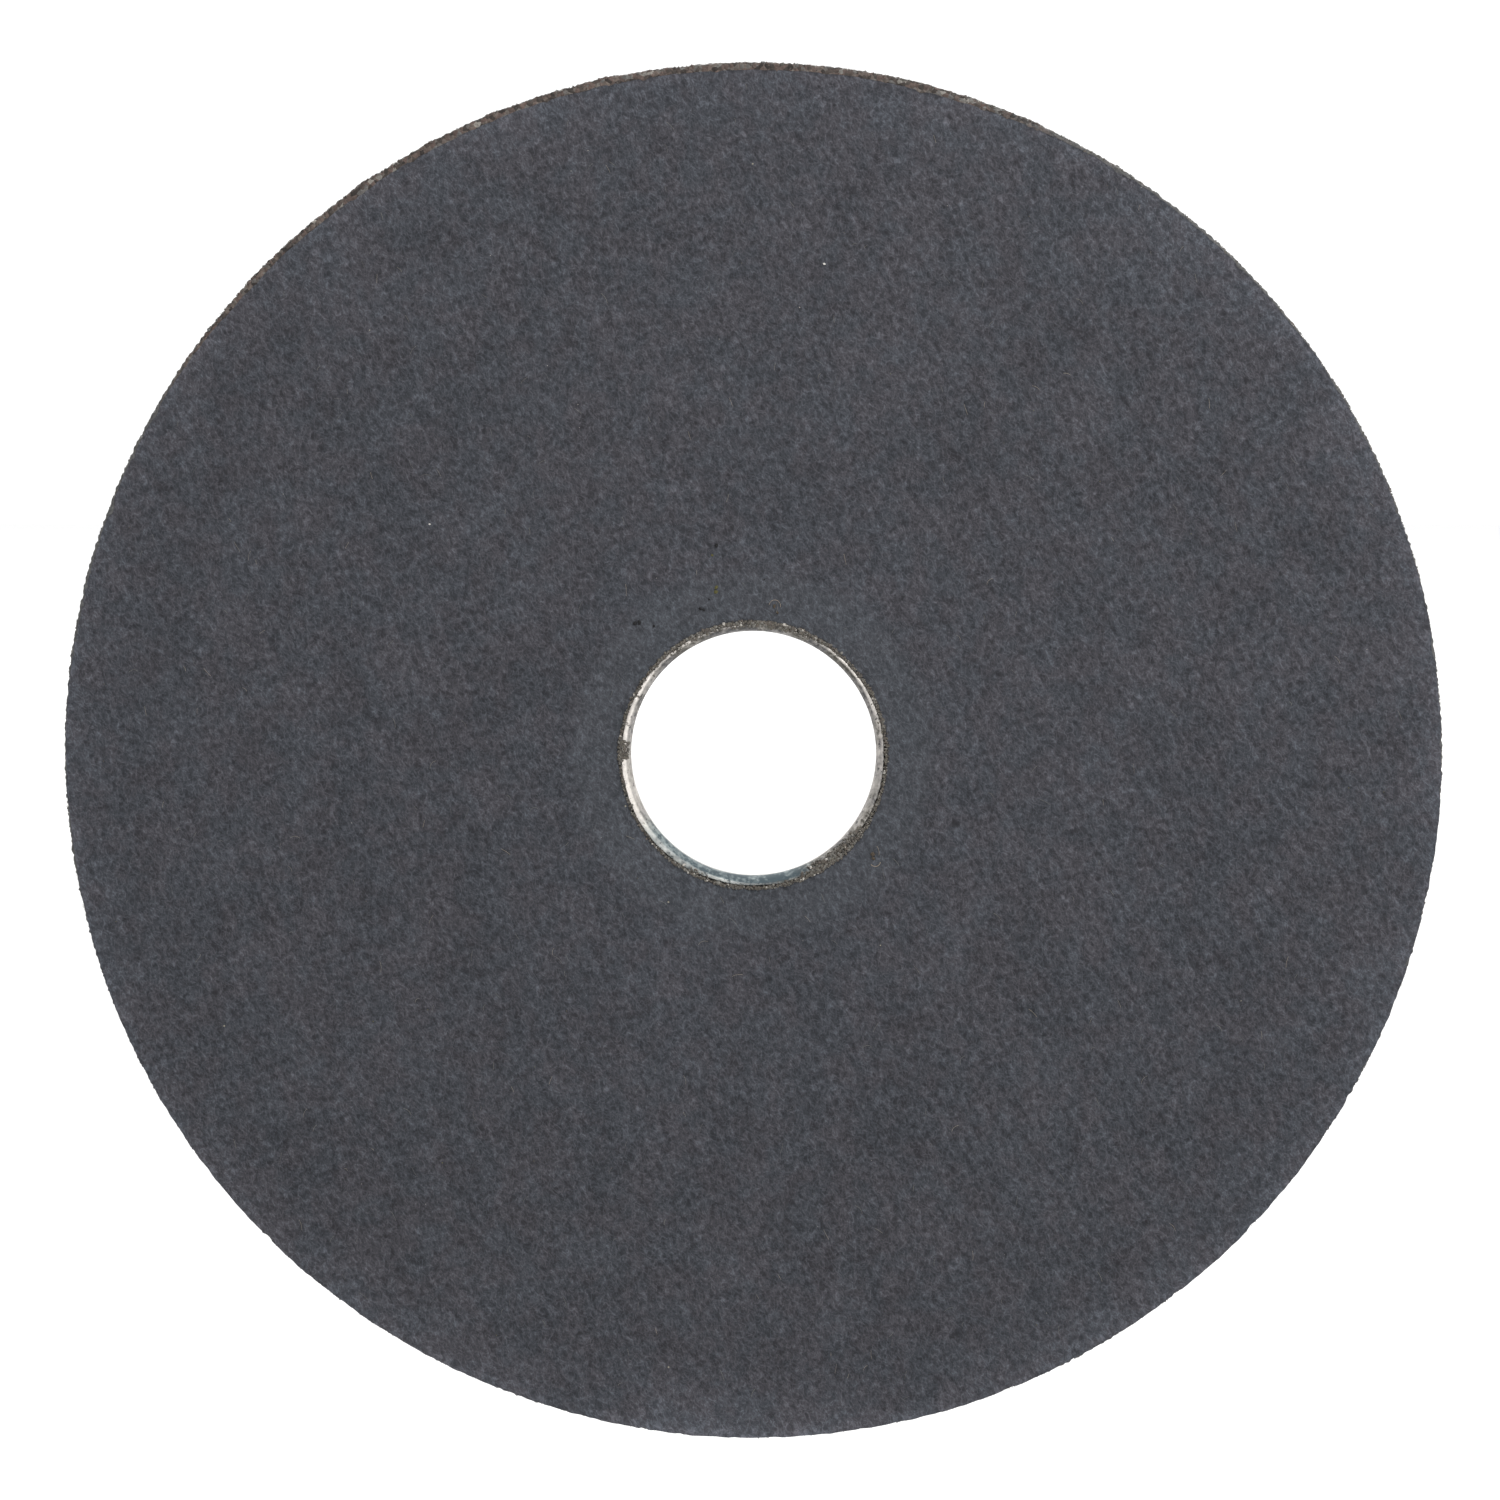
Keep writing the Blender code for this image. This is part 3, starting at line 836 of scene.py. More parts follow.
ICOSAHEDRON_POINTS = np.array([(0, s, t * 1.618) for s in (-1, 1) for t in (-1, 1)]
                              + [(s, t * 1.618, 0) for s in (-1, 1) for t in (-1, 1)]
                              + [(t * 1.618, 0, s) for s in (-1, 1) for t in (-1, 1)], float) / 1.902


def icosahedron_faces():
    """The twenty triangles: every three corners that all lie one edge length apart, turned outwards."""
    apart = np.linalg.norm(ICOSAHEDRON_POINTS[:, None] - ICOSAHEDRON_POINTS[None], axis=-1)
    near = apart < 1.1
    faces = []
    for a, b, c in product(range(12), repeat=3):
        if a < b < c and near[a, b] and near[b, c] and near[a, c]:
            corner = ICOSAHEDRON_POINTS[[a, b, c]]
            outward = np.dot(np.cross(corner[1] - corner[0], corner[2] - corner[0]), corner.sum(0)) > 0
            faces.append((a, b, c) if outward else (a, c, b))
    return np.array(faces)


def random_turns(draw, count):
    """Rotation matrices from evenly drawn unit quaternions."""
    q = draw.normal(size=(count, 4))
    w, x, y, z = (q / np.linalg.norm(q, axis=1, keepdims=True)).T
    rows = [[1 - 2 * (y * y + z * z), 2 * (x * y - z * w), 2 * (x * z + y * w)],
            [2 * (x * y + z * w), 1 - 2 * (x * x + z * z), 2 * (y * z - x * w)],
            [2 * (x * z - y * w), 2 * (y * z + x * w), 1 - 2 * (x * x + y * y)]]
    return np.moveaxis(np.array(rows), -1, 0)


def make_lumps(name, centres, sizes, seed, material, low=None, high=None, smooth=False, tones=None):
    """A crowd of angular lumps: each is an icosahedron with its corners pushed in or out at random,
    stretched, turned at random and set at its centre; low and high hold them between two heights."""
    draw = np.random.default_rng(seed)
    count = len(centres)
    faces = icosahedron_faces()
    corners = ICOSAHEDRON_POINTS[None] * draw.uniform(0.72, 1.18, (count, 12, 1))
    corners = corners * (sizes[:, None, None] * draw.uniform(0.62, 1.25, (count, 1, 3)))
    corners = np.einsum("nij,nkj->nki", random_turns(draw, count), corners)
    points = inside_limit(corners + centres[:, None, :])
    if low is not None:
        points[..., 1] = np.maximum(points[..., 1], low)
    if high is not None:
        points[..., 1] = np.minimum(points[..., 1], high)
    index = (faces[None] + 12 * np.arange(count)[:, None, None]).reshape(-1, 3)
    piece = new_mesh(name, points.reshape(-1, 3), index, smooth)
    point_values(piece, "draw", np.repeat(draw.uniform(0.0, 1.0, count) if tones is None else tones, 12))
    return finish_piece(piece, material)


def make_rim_grains(material):
    """Grains standing out of the rim all round, and on the bare margin along the top."""
    draw = np.random.default_rng(61)
    count = 3600
    angle = draw.uniform(0.0, TURN, count)
    height = draw.uniform(MESH_BACK_LOW + 0.12 * MM, MESH_FRONT_HIGH - 0.15 * MM, count)
    size = draw.uniform(0.10, 0.26, count) * MM
    radius = RIM_RADIUS - size * 0.55 + draw.normal(0.0, 0.03, count) * MM + rim_bumps(np.degrees(angle))
    rim = on_circle(radius, angle, height)

    bare_count = 1500
    bare_degrees = draw.uniform(BARE_FROM - 16.0, BARE_TO + 8.0, bare_count)
    bare_size = draw.uniform(0.06, 0.19, bare_count) * MM
    bare_radius = RIM_RADIUS - draw.uniform(0.02, 0.62, bare_count) * MM
    bare_height = MESH_BACK_LOW + draw.uniform(0.04, 0.14, bare_count) * MM
    bare_rim = on_circle(bare_radius, np.radians(bare_degrees), bare_height)
    brown = bump_between(bare_degrees, 70.0, 144.0, 14.0)
    bare_tone = draw.uniform(0.0, 0.60, bare_count) * brown
    bare_tone += draw.uniform(0.50, 0.98, bare_count) * (1.0 - brown)

    knots = np.repeat([66.0, 76.5, 102.5, 112.2, 118.0, 124.0, 125.2, 136.5], 6)
    knots = knots + draw.normal(0.0, 0.35, knots.size)
    knot_size = draw.uniform(0.10, 0.20, knots.size) * MM
    knot_radius = RIM_RADIUS + rim_bumps(knots) - knot_size * 0.45
    knot_rim = on_circle(knot_radius, np.radians(knots), MESH_BACK_LOW + 0.1 * MM)
    centres = np.concatenate([rim, bare_rim, knot_rim])
    sizes = np.concatenate([size, bare_size, knot_size])
    dusty = (height < PAPER_BACK + 0.42 * MM) & (bump_between(np.degrees(angle), 60.0, 152.0, 10.0) < 0.5)
    tone = np.where(dusty, draw.uniform(0.68, 0.95, count), draw.uniform(0.0, 0.9, count))
    tones = np.concatenate([tone, bare_tone, draw.uniform(0.12, 0.3, knots.size)])
    make_lumps("rim_grains", centres, sizes, 62, material, low=PAPER_FACE + 0.03 * MM,
               high=MESH_FRONT_HIGH, tones=tones)


def make_front_grains(material):
    """Grains standing out of the grit between the yarns, round the label."""
    draw = np.random.default_rng(71)
    count = 3000
    angle = draw.uniform(0.0, TURN, count)
    radius = np.sqrt(draw.uniform((LABEL_RADIUS + 0.3 * MM) ** 2, (RIM_RADIUS - 0.2 * MM) ** 2, count))
    size = draw.uniform(0.10, 0.28, count) * MM
    level = (MESH_FRONT_LOW + MESH_FRONT_HIGH) / 2
    centres = on_circle(radius, angle, level - size * 0.35)
    make_lumps("face_grains", centres, size, 72, material, high=LABEL_FACE)


# ---------------------------------------------------------------- glass

WEAVE_PITCH = 5.0 * MM
YARN_WIDTH = 1.15 * MM
FRONT_WEAVE_TURN = math.radians(12.0)
BACK_WEAVE_TURN = math.radians(-24.0)


def yarn_runs(limit, hole):
    """(offset, start, end) of every straight yarn of one set inside a ring: one run where it misses
    the bore, two where it crosses it."""
    count = int(limit // WEAVE_PITCH)
    runs = []
    for index in range(-count, count + 1):
        offset = index * WEAVE_PITCH
        far = math.sqrt(limit ** 2 - offset ** 2)
        if abs(offset) < hole:
            near = math.sqrt(hole ** 2 - offset ** 2)
            runs += [(offset, -far, -near), (offset, near, far)]
        elif far > WEAVE_PITCH:
            runs.append((offset, -far, far))
    return np.array(runs)


def make_front_weave(material):
    """The front glass mesh: two crossed sets of flat yarns.  A yarn is a flattened oval carried along
    a straight line; it rises and dips by a cosine over and under the yarns that it crosses, and the
    other set does the opposite."""
    sides, samples = 8, 150
    around = round_axis(sides)
    middle_height = (MESH_FRONT_LOW + MESH_FRONT_HIGH) / 2
    depth = 0.075 * MM
    crimp = 0.042 * MM
    all_points, all_across, all_along = [], [], []
    for crossing in (0, 1):
        runs = yarn_runs(MESH_RADIUS - 0.25 * MM, LAYER_BORE + 0.4 * MM)
        offset, start, end = (runs[:, i][:, None, None] for i in range(3))
        share = np.linspace(0.0, 1.0, samples)[None, :, None]
        along = start + (end - start) * share
        place = np.concatenate([along + 0 * offset, 0 * along + offset, 0 * along], axis=2)
        width = YARN_WIDTH * (1.0 + 0.10 * lattice_noise(place, 6.0 * MM, 81 + crossing))[..., None]
        wander = 0.16 * MM * lattice_noise(place, 9.0 * MM, 83 + crossing)[..., None]
        taper = np.minimum(1.0, 8.0 * np.minimum(share, 1.0 - share) + 0.35)
        side = offset + wander + width / 2 * np.cos(around) * taper
        rows = np.round(offset / WEAVE_PITCH)
        wave = np.cos(math.pi * (along / WEAVE_PITCH + rows)) * (1 if crossing else -1)
        top = middle_height + crimp * wave + depth * np.sin(around) * taper
        first, second = (along + 0 * side, side) if crossing == 0 else (side, along + 0 * side)
        x = first * math.cos(FRONT_WEAVE_TURN) - second * math.sin(FRONT_WEAVE_TURN)
        z = first * math.sin(FRONT_WEAVE_TURN) + second * math.cos(FRONT_WEAVE_TURN)
        all_points.append(np.stack([x, top, z], axis=-1))
        all_across.append(np.cos(around) + 0 * along)
        all_along.append(along + 0 * side)
    piece = tube_surface("front_glass_weave", np.concatenate(all_points))
    point_values(piece, "across", np.concatenate(all_across))
    point_values(piece, "along", np.concatenate(all_along))
    return finish_piece(piece, material, ["front_glass_mesh"])


def tube_surface(name, points):
    """One piece of many closed tubes from points[strand, sample, side]: walls and two ends.  Each
    tube's faces are turned outwards by the sign of the volume that they enclose."""
    strands, samples, sides = points.shape[:3]
    sample = np.arange(samples - 1)[:, None]
    side = np.arange(sides)[None, :]
    beside = (side + 1) % sides
    wall = [sample * sides + side, sample * sides + beside, (sample + 1) * sides + beside,
            (sample + 1) * sides + side]
    wall = np.stack(wall, axis=-1).reshape(-1, 4)
    last = (samples - 1) * sides
    cap = np.array([(k, sides - 1 - k, sides - 2 - k, k + 1) for k in range(sides // 2 - 1)])
    one = np.concatenate([wall, cap, last + cap[:, ::-1]])
    local = (points - points[:, :1, :1]).reshape(strands, -1, 3)
    a, b, c, d = (local[:, one[:, corner]] for corner in range(4))
    inside_out = np.sum(a * np.cross(b - d, c), axis=(1, 2)) < 0
    faces = np.where(inside_out[:, None, None], one[None, :, ::-1], one[None])
    faces = faces + samples * sides * np.arange(strands)[:, None, None]
    return new_mesh(name, points.reshape(-1, 3), faces.reshape(-1, 4))


def make_fibre_ends(material):
    """Broken fibre ends at the rim: where each yarn of the two full-size meshes reaches the edge, a
    tuft of short bent four-sided fibres, each a tube on a slightly curved line."""
    draw = np.random.default_rng(91)
    angles, heights = [], []
    for turn, low, high in ((BACK_WEAVE_TURN, MESH_BACK_LOW, MESH_BACK_HIGH),
                            (FRONT_WEAVE_TURN, MESH_FRONT_LOW, MESH_FRONT_HIGH)):
        offsets = np.arange(-12, 13) * WEAVE_PITCH
        lean = np.arcsin(np.clip(offsets / RIM_RADIUS, -1.0, 1.0))
        for quarter in range(4):
            angles.append(turn + lean + quarter * math.pi / 2)
            heights.append(np.full(lean.size, (low + high) / 2))
    angles, heights = np.concatenate(angles), np.concatenate(heights)
    each = 9
    count = angles.size * each
    angle = np.repeat(angles, each) + draw.normal(0.0, 0.45 * MM / RIM_RADIUS, count)
    height = np.repeat(heights, each) + draw.uniform(-0.09, 0.09, count) * MM
    length = draw.uniform(0.10, 0.34, count) * MM
    lean_round = draw.normal(0.0, 0.35, count)
    lean_up = draw.normal(0.0, 0.22, count)
    thick = draw.uniform(0.018, 0.040, count) * MM
    samples, sides = 4, 4
    share = np.linspace(0.0, 1.0, samples)[None, :, None]
    around = round_axis(sides)[None, None, :]
    out = (RIM_RADIUS - 0.16 * MM) + (length[:, None, None] * share)
    side = lean_round[:, None, None] * length[:, None, None] * share ** 2
    up = lean_up[:, None, None] * length[:, None, None] * share ** 2
    girth = thick[:, None, None] * (1.0 - 0.45 * share)
    place = angle[:, None, None] + (side + girth * np.cos(around)) / RIM_RADIUS
    level = height[:, None, None] + up + girth * np.sin(around)
    points = inside_limit(on_circle(out + 0 * place, place, level))
    piece = tube_surface("rim_fibre_ends", points)
    return finish_piece(piece, material)


# ---------------------------------------------------------------- bore ring

def arc(centre, radius, start, end, count):
    """Profile points on an arc, angles in degrees, both ends included."""
    sweep = np.radians(np.linspace(start, end, count))
    return [(centre[0] + radius * math.cos(a), centre[1] + radius * math.sin(a)) for a in sweep]


def ring_outline():
    """Profile of the drawn ring, once round: the flange's face and edge, its underside, the sleeve's
    outside, the rounded lip, and the sleeve's bore back up to the bend."""
    top = RING_HIGH
    under = RING_HIGH - 0.32 * MM
    outside = BORE_RADIUS + RING_WALL
    bend = 0.34 * MM
    edge = 0.10 * MM
    lip = RING_WALL / 2
    lip_centre = (BORE_RADIUS + lip, RING_LOW + 0.06 * MM + lip)
    points = [(BORE_RADIUS + 1.2 * MM, top), (BORE_RADIUS + 2.6 * MM, top), (FLANGE_RADIUS - 0.6 * MM, top)]
    points += arc((FLANGE_RADIUS - edge, top - edge), edge, 90.0, 0.0, 4)
    points += [(FLANGE_RADIUS, under), (FLANGE_RADIUS - 1.5 * MM, under), (outside + 0.8 * MM, under)]
    points += [(outside + 0.1 * MM, under), (outside, under - 0.1 * MM)]
    points += [(outside, 0.3 * MM), (outside, -0.3 * MM), (outside, RING_LOW + 0.75 * MM)]
    points += arc(lip_centre, lip, 20.0, -180.0, 14)
    points += [(BORE_RADIUS, RING_LOW + step * MM) for step in (0.40, 0.52, 0.66, 0.80, 0.95, 1.2)]
    points += [(BORE_RADIUS, 0.4 * MM)]
    points += arc((BORE_RADIUS + bend, top - bend), bend, 180.0, 95.0, 6)
    return np.array(points)


def make_bore_ring(material):
    """The bore ring: the outline turned round the axis.  Near its lip it wanders in and out a little,
    is split at one place, and is rolled flatter beside the split."""
    steps = 1440
    angle = round_axis(steps)
    degrees = np.degrees(angle)
    outline = ring_outline()
    near_lip = np.clip((RING_LOW + 1.0 * MM - outline[:, 1]) / (0.9 * MM), 0.0, 1.0)[:, None]
    opened = near_lip ** 1.5 * lip_flare(degrees)
    spot = on_circle(BORE_RADIUS, angle, 0.0)
    wander = 0.035 * lattice_noise(spot, 4.0 * MM, 101) + 0.030 * lattice_noise(spot, 0.9 * MM, 102)
    dent = 0.03 * (1.0 + lattice_noise(spot, 1.6 * MM, 103))
    split = np.exp(-((degrees - 153.4) / 0.55) ** 2)
    rolled = bump_between(degrees, 139.5, 153.0, 0.8)
    uneven = near_lip * (wander + 0.06 * rolled - 0.05 * split) * MM
    radius = outline[:, :1] + ring_lean(degrees) + opened + uneven
    height = outline[:, 1:] + near_lip * (dent + 0.08 * rolled + 0.34 * split) * MM
    height = np.clip(height, RING_LOW, RING_HIGH)
    piece = ring_surface("bore_ring_tinplate", on_circle(radius, angle[None, :], height))

    stops = [0, 15, 30, 45, 60, 75, 90, 105, 120, 135, 139, 142, 152, 156, 165, 172, 180, 188, 195,
             210, 225, 240, 255, 270, 285, 300, 315, 330, 345, 360]
    # how strongly the lip's crest and the slope inside it are darkened at each of the stops: partly resin
    # stain, partly painted shade that sets where the lip looks bright
    crest = [.67, .60, .46, .36, .82, .91, .87, .72, .36, .56, .60, .28, .28, .36, .34, .26, .18, .10, .03,
             .29, .72, .83, .57, .80, .84, .94, .97, .90, .80, .67]
    slope = [.63, .80, .91, .99, .97, .84, .94, .91, .91, .92, .90, .78, .75, .75, .76, .74, .66, .64, .60,
             .75, .90, .92, .95, 1.0, .99, .95, .86, .77, .69, .63]
    # where the slope ends and the crest begins, out from the bore
    border = np.interp(degrees, [0, 20, 32, 60, 110, 145, 150, 215, 240, 255, 270, 290, 310, 360],
                       [.32, .32, .42, .42, .42, .42, .36, .38, .38, .46, .60, .62, .40, .32]) * MM
    on_crest = np.clip((radius - ring_lean(degrees) - BORE_RADIUS - border) / (0.10 * MM), 0.0, 1.0)
    # painted shade: the darkening set by angle stands partly for resin stain and partly for the lip's light
    # and shade
    resin_film_and_painted_shade = np.interp(degrees, stops, crest) * on_crest + np.interp(degrees, stops, slope) * (1.0 - on_crest)
    lip = np.clip((RING_LOW + 2.2 * MM - outline[:, 1]) / (0.8 * MM), 0.0, 1.0)[:, None]
    resin_film_and_painted_shade = resin_film_and_painted_shade * lip + 0.22 * (1.0 - lip)
    point_values(piece, "lip", lip + 0.0 * resin_film_and_painted_shade)
    # painted reflection: a blue-green tint on the lower part of the lip, weaker on its crest
    painted_teal_reflection = bump_between(degrees, 206.0, 304.0, 16.0)[None, :] * (1.0 - 0.5 * on_crest) * lip
    point_values(piece, "resin_film_and_painted_shade", resin_film_and_painted_shade)
    point_values(piece, "painted_teal_reflection", painted_teal_reflection)
    return finish_piece(piece, material, ["bore_ring"])


def make_bore_crumbs(material):
    """Crumbs of baked resin in the gap between the ring's lip and the paper, thick along the top and
    the lower right, thin on the left; some lie on the lip."""
    draw = np.random.default_rng(111)
    stops = [0, 12, 30, 50, 58, 75, 120, 136, 142, 173, 175, 182, 184,
             232, 238, 247, 252, 290, 298, 322, 330, 360]
    crowd = [.6, .8, .7, .6, 1.0, 1.4, 1.1, .8, .5, .5, 1.7, 1.7, .36,
             .5, 1.1, 1.0, .65, .8, 1.7, 1.5, .7, .6]
    tries, fullest = 11000, 1.7
    degrees = draw.uniform(0.0, 360.0, tries)
    kept = draw.uniform(0.0, fullest, tries) < np.interp(degrees, stops, crowd)
    degrees = degrees[kept]
    count = degrees.size
    angle = np.radians(degrees)
    thick = np.interp(degrees, stops, crowd) / fullest
    size = (0.030 + 0.135 * draw.uniform(0.0, 1.0, count) ** 1.6) * MM * (0.75 + 0.5 * thick)
    across = draw.normal(0.0, 1.0, count)
    lip_outer = BORE_RADIUS + RING_WALL + ring_lean(degrees) + lip_flare(degrees)
    hole = paper_hole(degrees)
    radius = hole + (lip_outer - hole) * draw.uniform(0.0, 0.9, count) + 0.06 * across * MM
    on_lip = draw.uniform(0.0, 1.0, count) < 0.75 * np.clip(thick - 0.42, 0.0, 1.0)
    inward = draw.uniform(-0.05, np.where(thick > 0.85, 0.72, 0.36), count) * MM
    radius = np.where(on_lip, lip_outer - inward, radius)
    sunk = RING_LOW + 0.10 * MM + 0.9 * np.clip(inward - 0.35 * MM, 0.0, 1.0)
    level = np.where(on_lip, sunk, PAPER_FACE - draw.uniform(-0.08, 0.07, count) * MM)
    centres = on_circle(radius, angle, level)
    tones = np.where(draw.uniform(0.0, 1.0, count) < 0.035, 1.0, draw.uniform(0.0, 0.86, count))
    make_lumps("bore_crumbs", centres, size, 112, material, low=RING_LOW, smooth=True,
               tones=tones)


# ---------------------------------------------------------------- things lying on the paper

def make_paper_specks(material):
    """Flat specks pressed into the paper: two pale ones, dark ones above the bore, an olive one and a
    brown smear, and a scatter of tiny ones.  Each is given by X, Z, size in millimetres and tone."""
    draw = np.random.default_rng(121)
    known = np.array([(6.5, 44.3, 0.14, 1.0), (-29.2, 20.8, 0.12, 1.0), (-10.6, 11.85, 0.22, 0.0),
                      (-10.2, 11.9, 0.20, 0.0), (-8.9, 11.6, 0.15, 0.0), (-4.7, 13.15, 0.20, 0.0),
                      (-4.4, 13.05, 0.16, 0.0), (-3.2, 18.9, 0.20, 0.0), (-3.9, 14.0, 0.13, 0.0),
                      (1.1, 15.8, 0.11, 0.0), (-3.25, 15.1, 0.22, 0.33), (-3.3, 14.7, 0.22, 0.33),
                      (-3.6, 18.0, 0.16, 0.33), (10.9, -9.1, 0.24, 0.6), (11.0, -9.5, 0.20, 0.6),
                      (2.0, 13.4, 0.20, 0.6), (2.3, 12.8, 0.16, 0.6)])
    count = 90
    angle = draw.uniform(0.0, TURN, count)
    radius = np.sqrt(draw.uniform((13.5 * MM) ** 2, (61.0 * MM) ** 2, count)) / MM
    loose = np.stack([radius * np.cos(angle), radius * np.sin(angle), draw.uniform(0.03, 0.07, count),
                      draw.choice([0.0, 0.33, 0.55, 0.8], count)], axis=1)
    table = np.concatenate([known, loose])
    centres = np.stack([table[:, 0], 0.0 * table[:, 0], table[:, 1]], axis=1) * MM
    centres[:, 1] = PAPER_FACE + 0.02 * MM
    make_lumps("paper_specks", centres, table[:, 2] * MM, 122, material,
               low=PAPER_FACE - 0.03 * MM, high=PAPER_BACK, smooth=True, tones=table[:, 3])


def make_stray_fibres(material):
    """Loose pale fibres on the paper.  A fibre is a thin four-sided tube along a line whose heading
    turns evenly, so that it is part of a circle; four hooked ones lie near the bore, and the rest
    are short, nearly straight and mostly upright."""
    draw = np.random.default_rng(131)
    count, samples, sides = 330, 9, 4
    turn = draw.uniform(0.0, TURN, count)
    reach_out = np.sqrt(draw.uniform((13.0 * MM) ** 2, (61.0 * MM) ** 2, count)) / MM
    table = np.stack([reach_out * np.cos(turn), reach_out * np.sin(turn), draw.normal(98.0, 26.0, count),
                      draw.uniform(0.35, 1.1, count), draw.normal(0.0, 45.0, count),
                      draw.uniform(0.010, 0.020, count), draw.uniform(0.0, 0.8, count)], axis=1)
    hooks = [(1.55, 13.3, 95.0, 1.7, -190.0, 0.026, 0.9), (2.1, 13.9, 300.0, 1.1, -60.0, 0.022, 0.4),
             (10.7, -9.9, 300.0, 1.1, 130.0, 0.030, 1.0), (11.45, -9.3, 75.0, 0.9, 50.0, 0.024, 0.8)]
    table = np.concatenate([table, hooks])
    start_x, start_z, heading, length, bend, thick, tone = (column[:, None] for column in table.T)
    share = np.linspace(0.0, 1.0, samples)[None, :]
    way = np.radians(heading + bend * share)
    step = length / (samples - 1)
    x = start_x + np.cumsum(np.cos(way), axis=1) * step
    z = start_z + np.cumsum(np.sin(way), axis=1) * step
    around = round_axis(sides)[None, None, :]
    side = thick[..., None] * np.cos(around)
    arch = 0.010 - 0.02 * np.sin(math.pi * share)[..., None]
    level = PAPER_FACE + (arch + thick[..., None] * np.sin(around)) * MM
    points = np.stack([(x[..., None] - side * np.sin(way)[..., None]) * MM, level + 0.0 * x[..., None],
                       (z[..., None] + side * np.cos(way)[..., None]) * MM], axis=-1)
    piece = tube_surface("stray_paper_fibres", points)
    point_values(piece, "draw", np.repeat(tone[:, 0], samples * sides))
    return finish_piece(piece, material)


# ---------------------------------------------------------------- stage

VIEW_DISTANCE = 0.67
VIEW_AZIMUTH = 1.0
VIEW_ELEVATION = 3.5
FRAME_WIDTH = 136.14 * MM            # what the camera sees across the wheel's plane
SENSOR_WIDTH = 36.0
VIEW_SHIFT = (-0.00165, 0.00204)     # a slight trim of where the wheel sits in the picture
FLOOR_HALF_WIDTH, FLOOR_LEVEL = 6.0, -0.16


def make_camera():
    """The camera, square to the wheel but for a degree or so, at the distance that gives the frame."""
    data = bpy.data.cameras.new("studio_camera")
    data.sensor_width = SENSOR_WIDTH
    data.lens = SENSOR_WIDTH * VIEW_DISTANCE / FRAME_WIDTH
    data.shift_x, data.shift_y = VIEW_SHIFT
    camera = bpy.data.objects.new("studio_camera", data)
    a, e = math.radians(VIEW_AZIMUTH), math.radians(VIEW_ELEVATION)
    away = Vector((math.sin(a) * math.cos(e), -math.cos(a) * math.cos(e), math.sin(e)))
    camera.location = away * VIEW_DISTANCE
    camera.rotation_euler = (-away).to_track_quat("-Z", "Y").to_euler()
    bpy.context.scene.collection.objects.link(camera)
    bpy.context.scene.camera = camera


def make_light(name, place, size, power, aim=(0.0, 0.0, 0.0)):
    """A square softbox, unseen by the camera, that faces the wheel or another aim."""
    data = bpy.data.lights.new(name, "AREA")
    data.shape = "SQUARE"
    data.size = size
    data.energy = power
    light = bpy.data.objects.new(name, data)
    light.location = place
    light.rotation_euler = (Vector(aim) - Vector(place)).to_track_quat("-Z", "Y").to_euler()
    light.visible_camera = False
    bpy.context.scene.collection.objects.link(light)


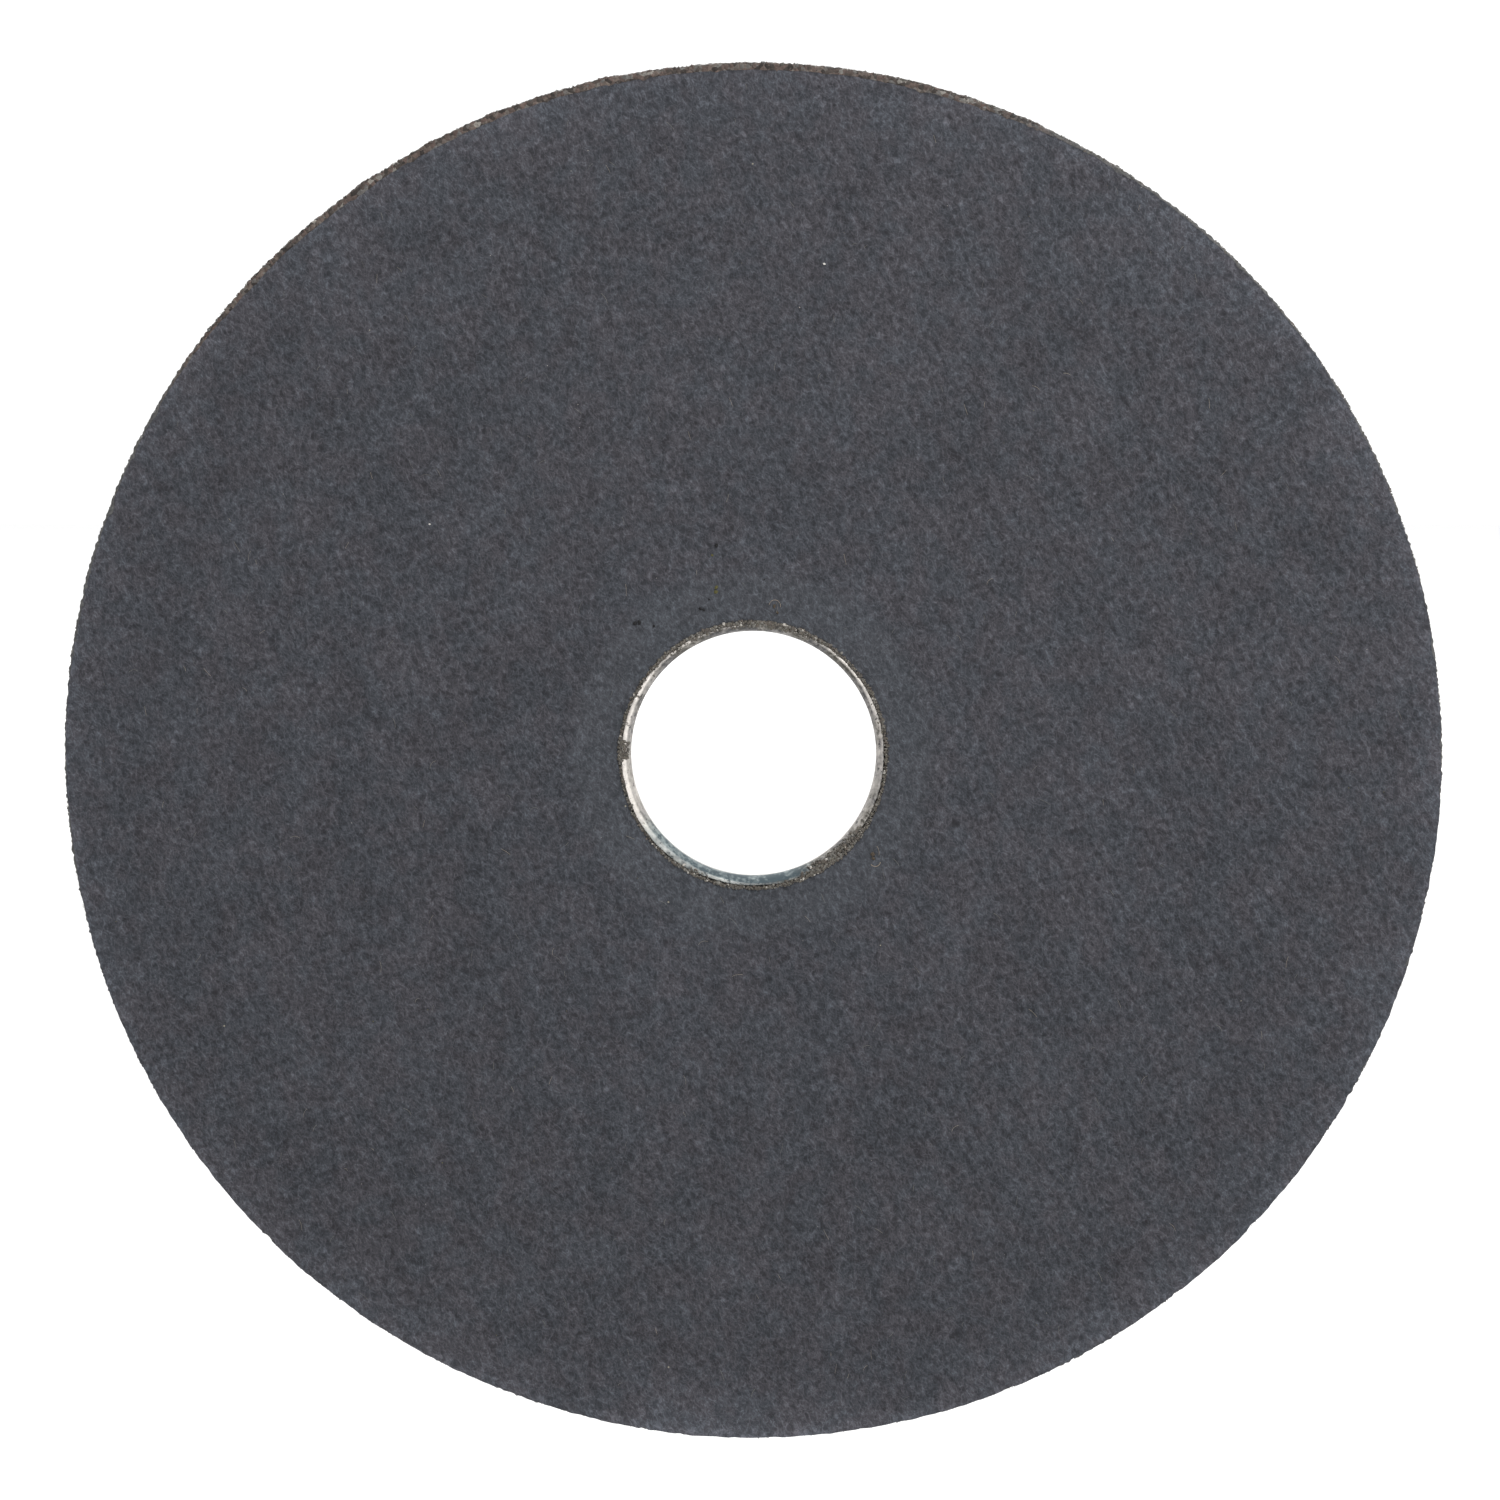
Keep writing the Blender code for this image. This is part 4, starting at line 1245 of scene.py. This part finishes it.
def make_stage(material):
    """A pale floor well below the wheel, a white room that is darker behind the camera, and soft
    lights from the upper right and behind."""
    mesh = bpy.data.meshes.new("floor")
    corners = [(x * FLOOR_HALF_WIDTH, y * FLOOR_HALF_WIDTH, FLOOR_LEVEL)
               for x, y in ((-1, -1), (1, -1), (1, 1), (-1, 1))]
    mesh.from_pydata(corners, [], [(0, 1, 2, 3)])
    floor = bpy.data.objects.new("floor", mesh)
    floor.data.materials.append(material)
    bpy.context.scene.collection.objects.link(floor)

    world = bpy.data.worlds.new("white_room")
    world.use_nodes = True
    tree = world.node_tree
    way = add(tree, "ShaderNodeSeparateXYZ", {0: add(tree, "ShaderNodeTexCoord").outputs["Generated"]})
    behind = maths(tree, "MULTIPLY", way.outputs[1], -1.0)
    shade = maths(tree, "SUBTRACT", ramp(tree, behind, -0.2, 0.3, 1.15, 0.45),
                  ramp(tree, behind, 0.4, 0.85, 0.0, 0.20))
    shade = maths(tree, "ADD", shade, ramp(tree, way.outputs[2], 0.35, 0.95, 0.0, 0.25))
    seen = add(tree, "ShaderNodeLightPath").outputs["Is Camera Ray"]
    background = tree.nodes["Background"]
    background.inputs["Color"].default_value = (1.0, 1.0, 1.0, 1.0)
    strength = maths(tree, "MAXIMUM", shade, maths(tree, "MULTIPLY", seen, 1.1))
    tree.links.new(strength, background.inputs["Strength"])
    bpy.context.scene.world = world
    make_light("key_right", (0.130, -0.27, 0.295), size=0.28, power=1.96)
    make_light("label_side", (-0.5, 0.6, 0.5), size=0.6, power=2.0)
    make_light("floor_wash", (0.0, 3.2, 2.4), size=3.0, power=45.0, aim=(0.0, 2.6, FLOOR_LEVEL))
    view = bpy.context.scene.view_settings
    view.view_transform = "Standard"
    view.look = "None"


# ---------------------------------------------------------------- the wheel, piece by piece

GRAIN_COLOURS = [(0.015, 0.012, 0.010), (0.034, 0.025, 0.021), (0.058, 0.036, 0.029), (0.052, 0.042, 0.035),
                 (0.062, 0.057, 0.047), (0.060, 0.060, 0.059), (0.14, 0.14, 0.135)]
CRUMB_COLOURS = [(0.034, 0.030, 0.026), (0.060, 0.052, 0.042), (0.090, 0.081, 0.064), (0.075, 0.060, 0.050),
                 (0.098, 0.092, 0.079), (0.125, 0.120, 0.108), (0.34, 0.32, 0.29)]
SPECK_COLOURS = [(0.010, 0.010, 0.011), (0.075, 0.070, 0.026), (0.052, 0.038, 0.034), (0.55, 0.53, 0.50)]
STRAY_COLOURS = [(0.075, 0.076, 0.078), (0.115, 0.110, 0.100), (0.24, 0.20, 0.16)]

make_camera()
make_stage(floor_material())
grit = grit_material()
grain = lump_material("loose_brown_grain", GRAIN_COLOURS, 0.55, 0.5)
yarn = yarn_material()
make_backing_paper(backing_paper_material())
make_back_abrasive(grit)
make_front_abrasive(grit)
make_rim_grains(grain)
make_front_grains(grain)
make_front_weave(yarn)
make_fibre_ends(fibre_end_material())
make_label(label_material())
make_bore_ring(tinplate_material())
make_bore_crumbs(lump_material("baked_resin_crumb", CRUMB_COLOURS, 0.6, 0.4))
make_paper_specks(lump_material("paper_speck", SPECK_COLOURS, 0.7, 0.2))
make_stray_fibres(lump_material("stray_fibre", STRAY_COLOURS, 0.7, 0.2))

for node in ("back_glass_mesh", "centre_glass_mesh"):
    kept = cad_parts[node]
    kept.data.materials.clear()
    kept.data.materials.append(yarn)
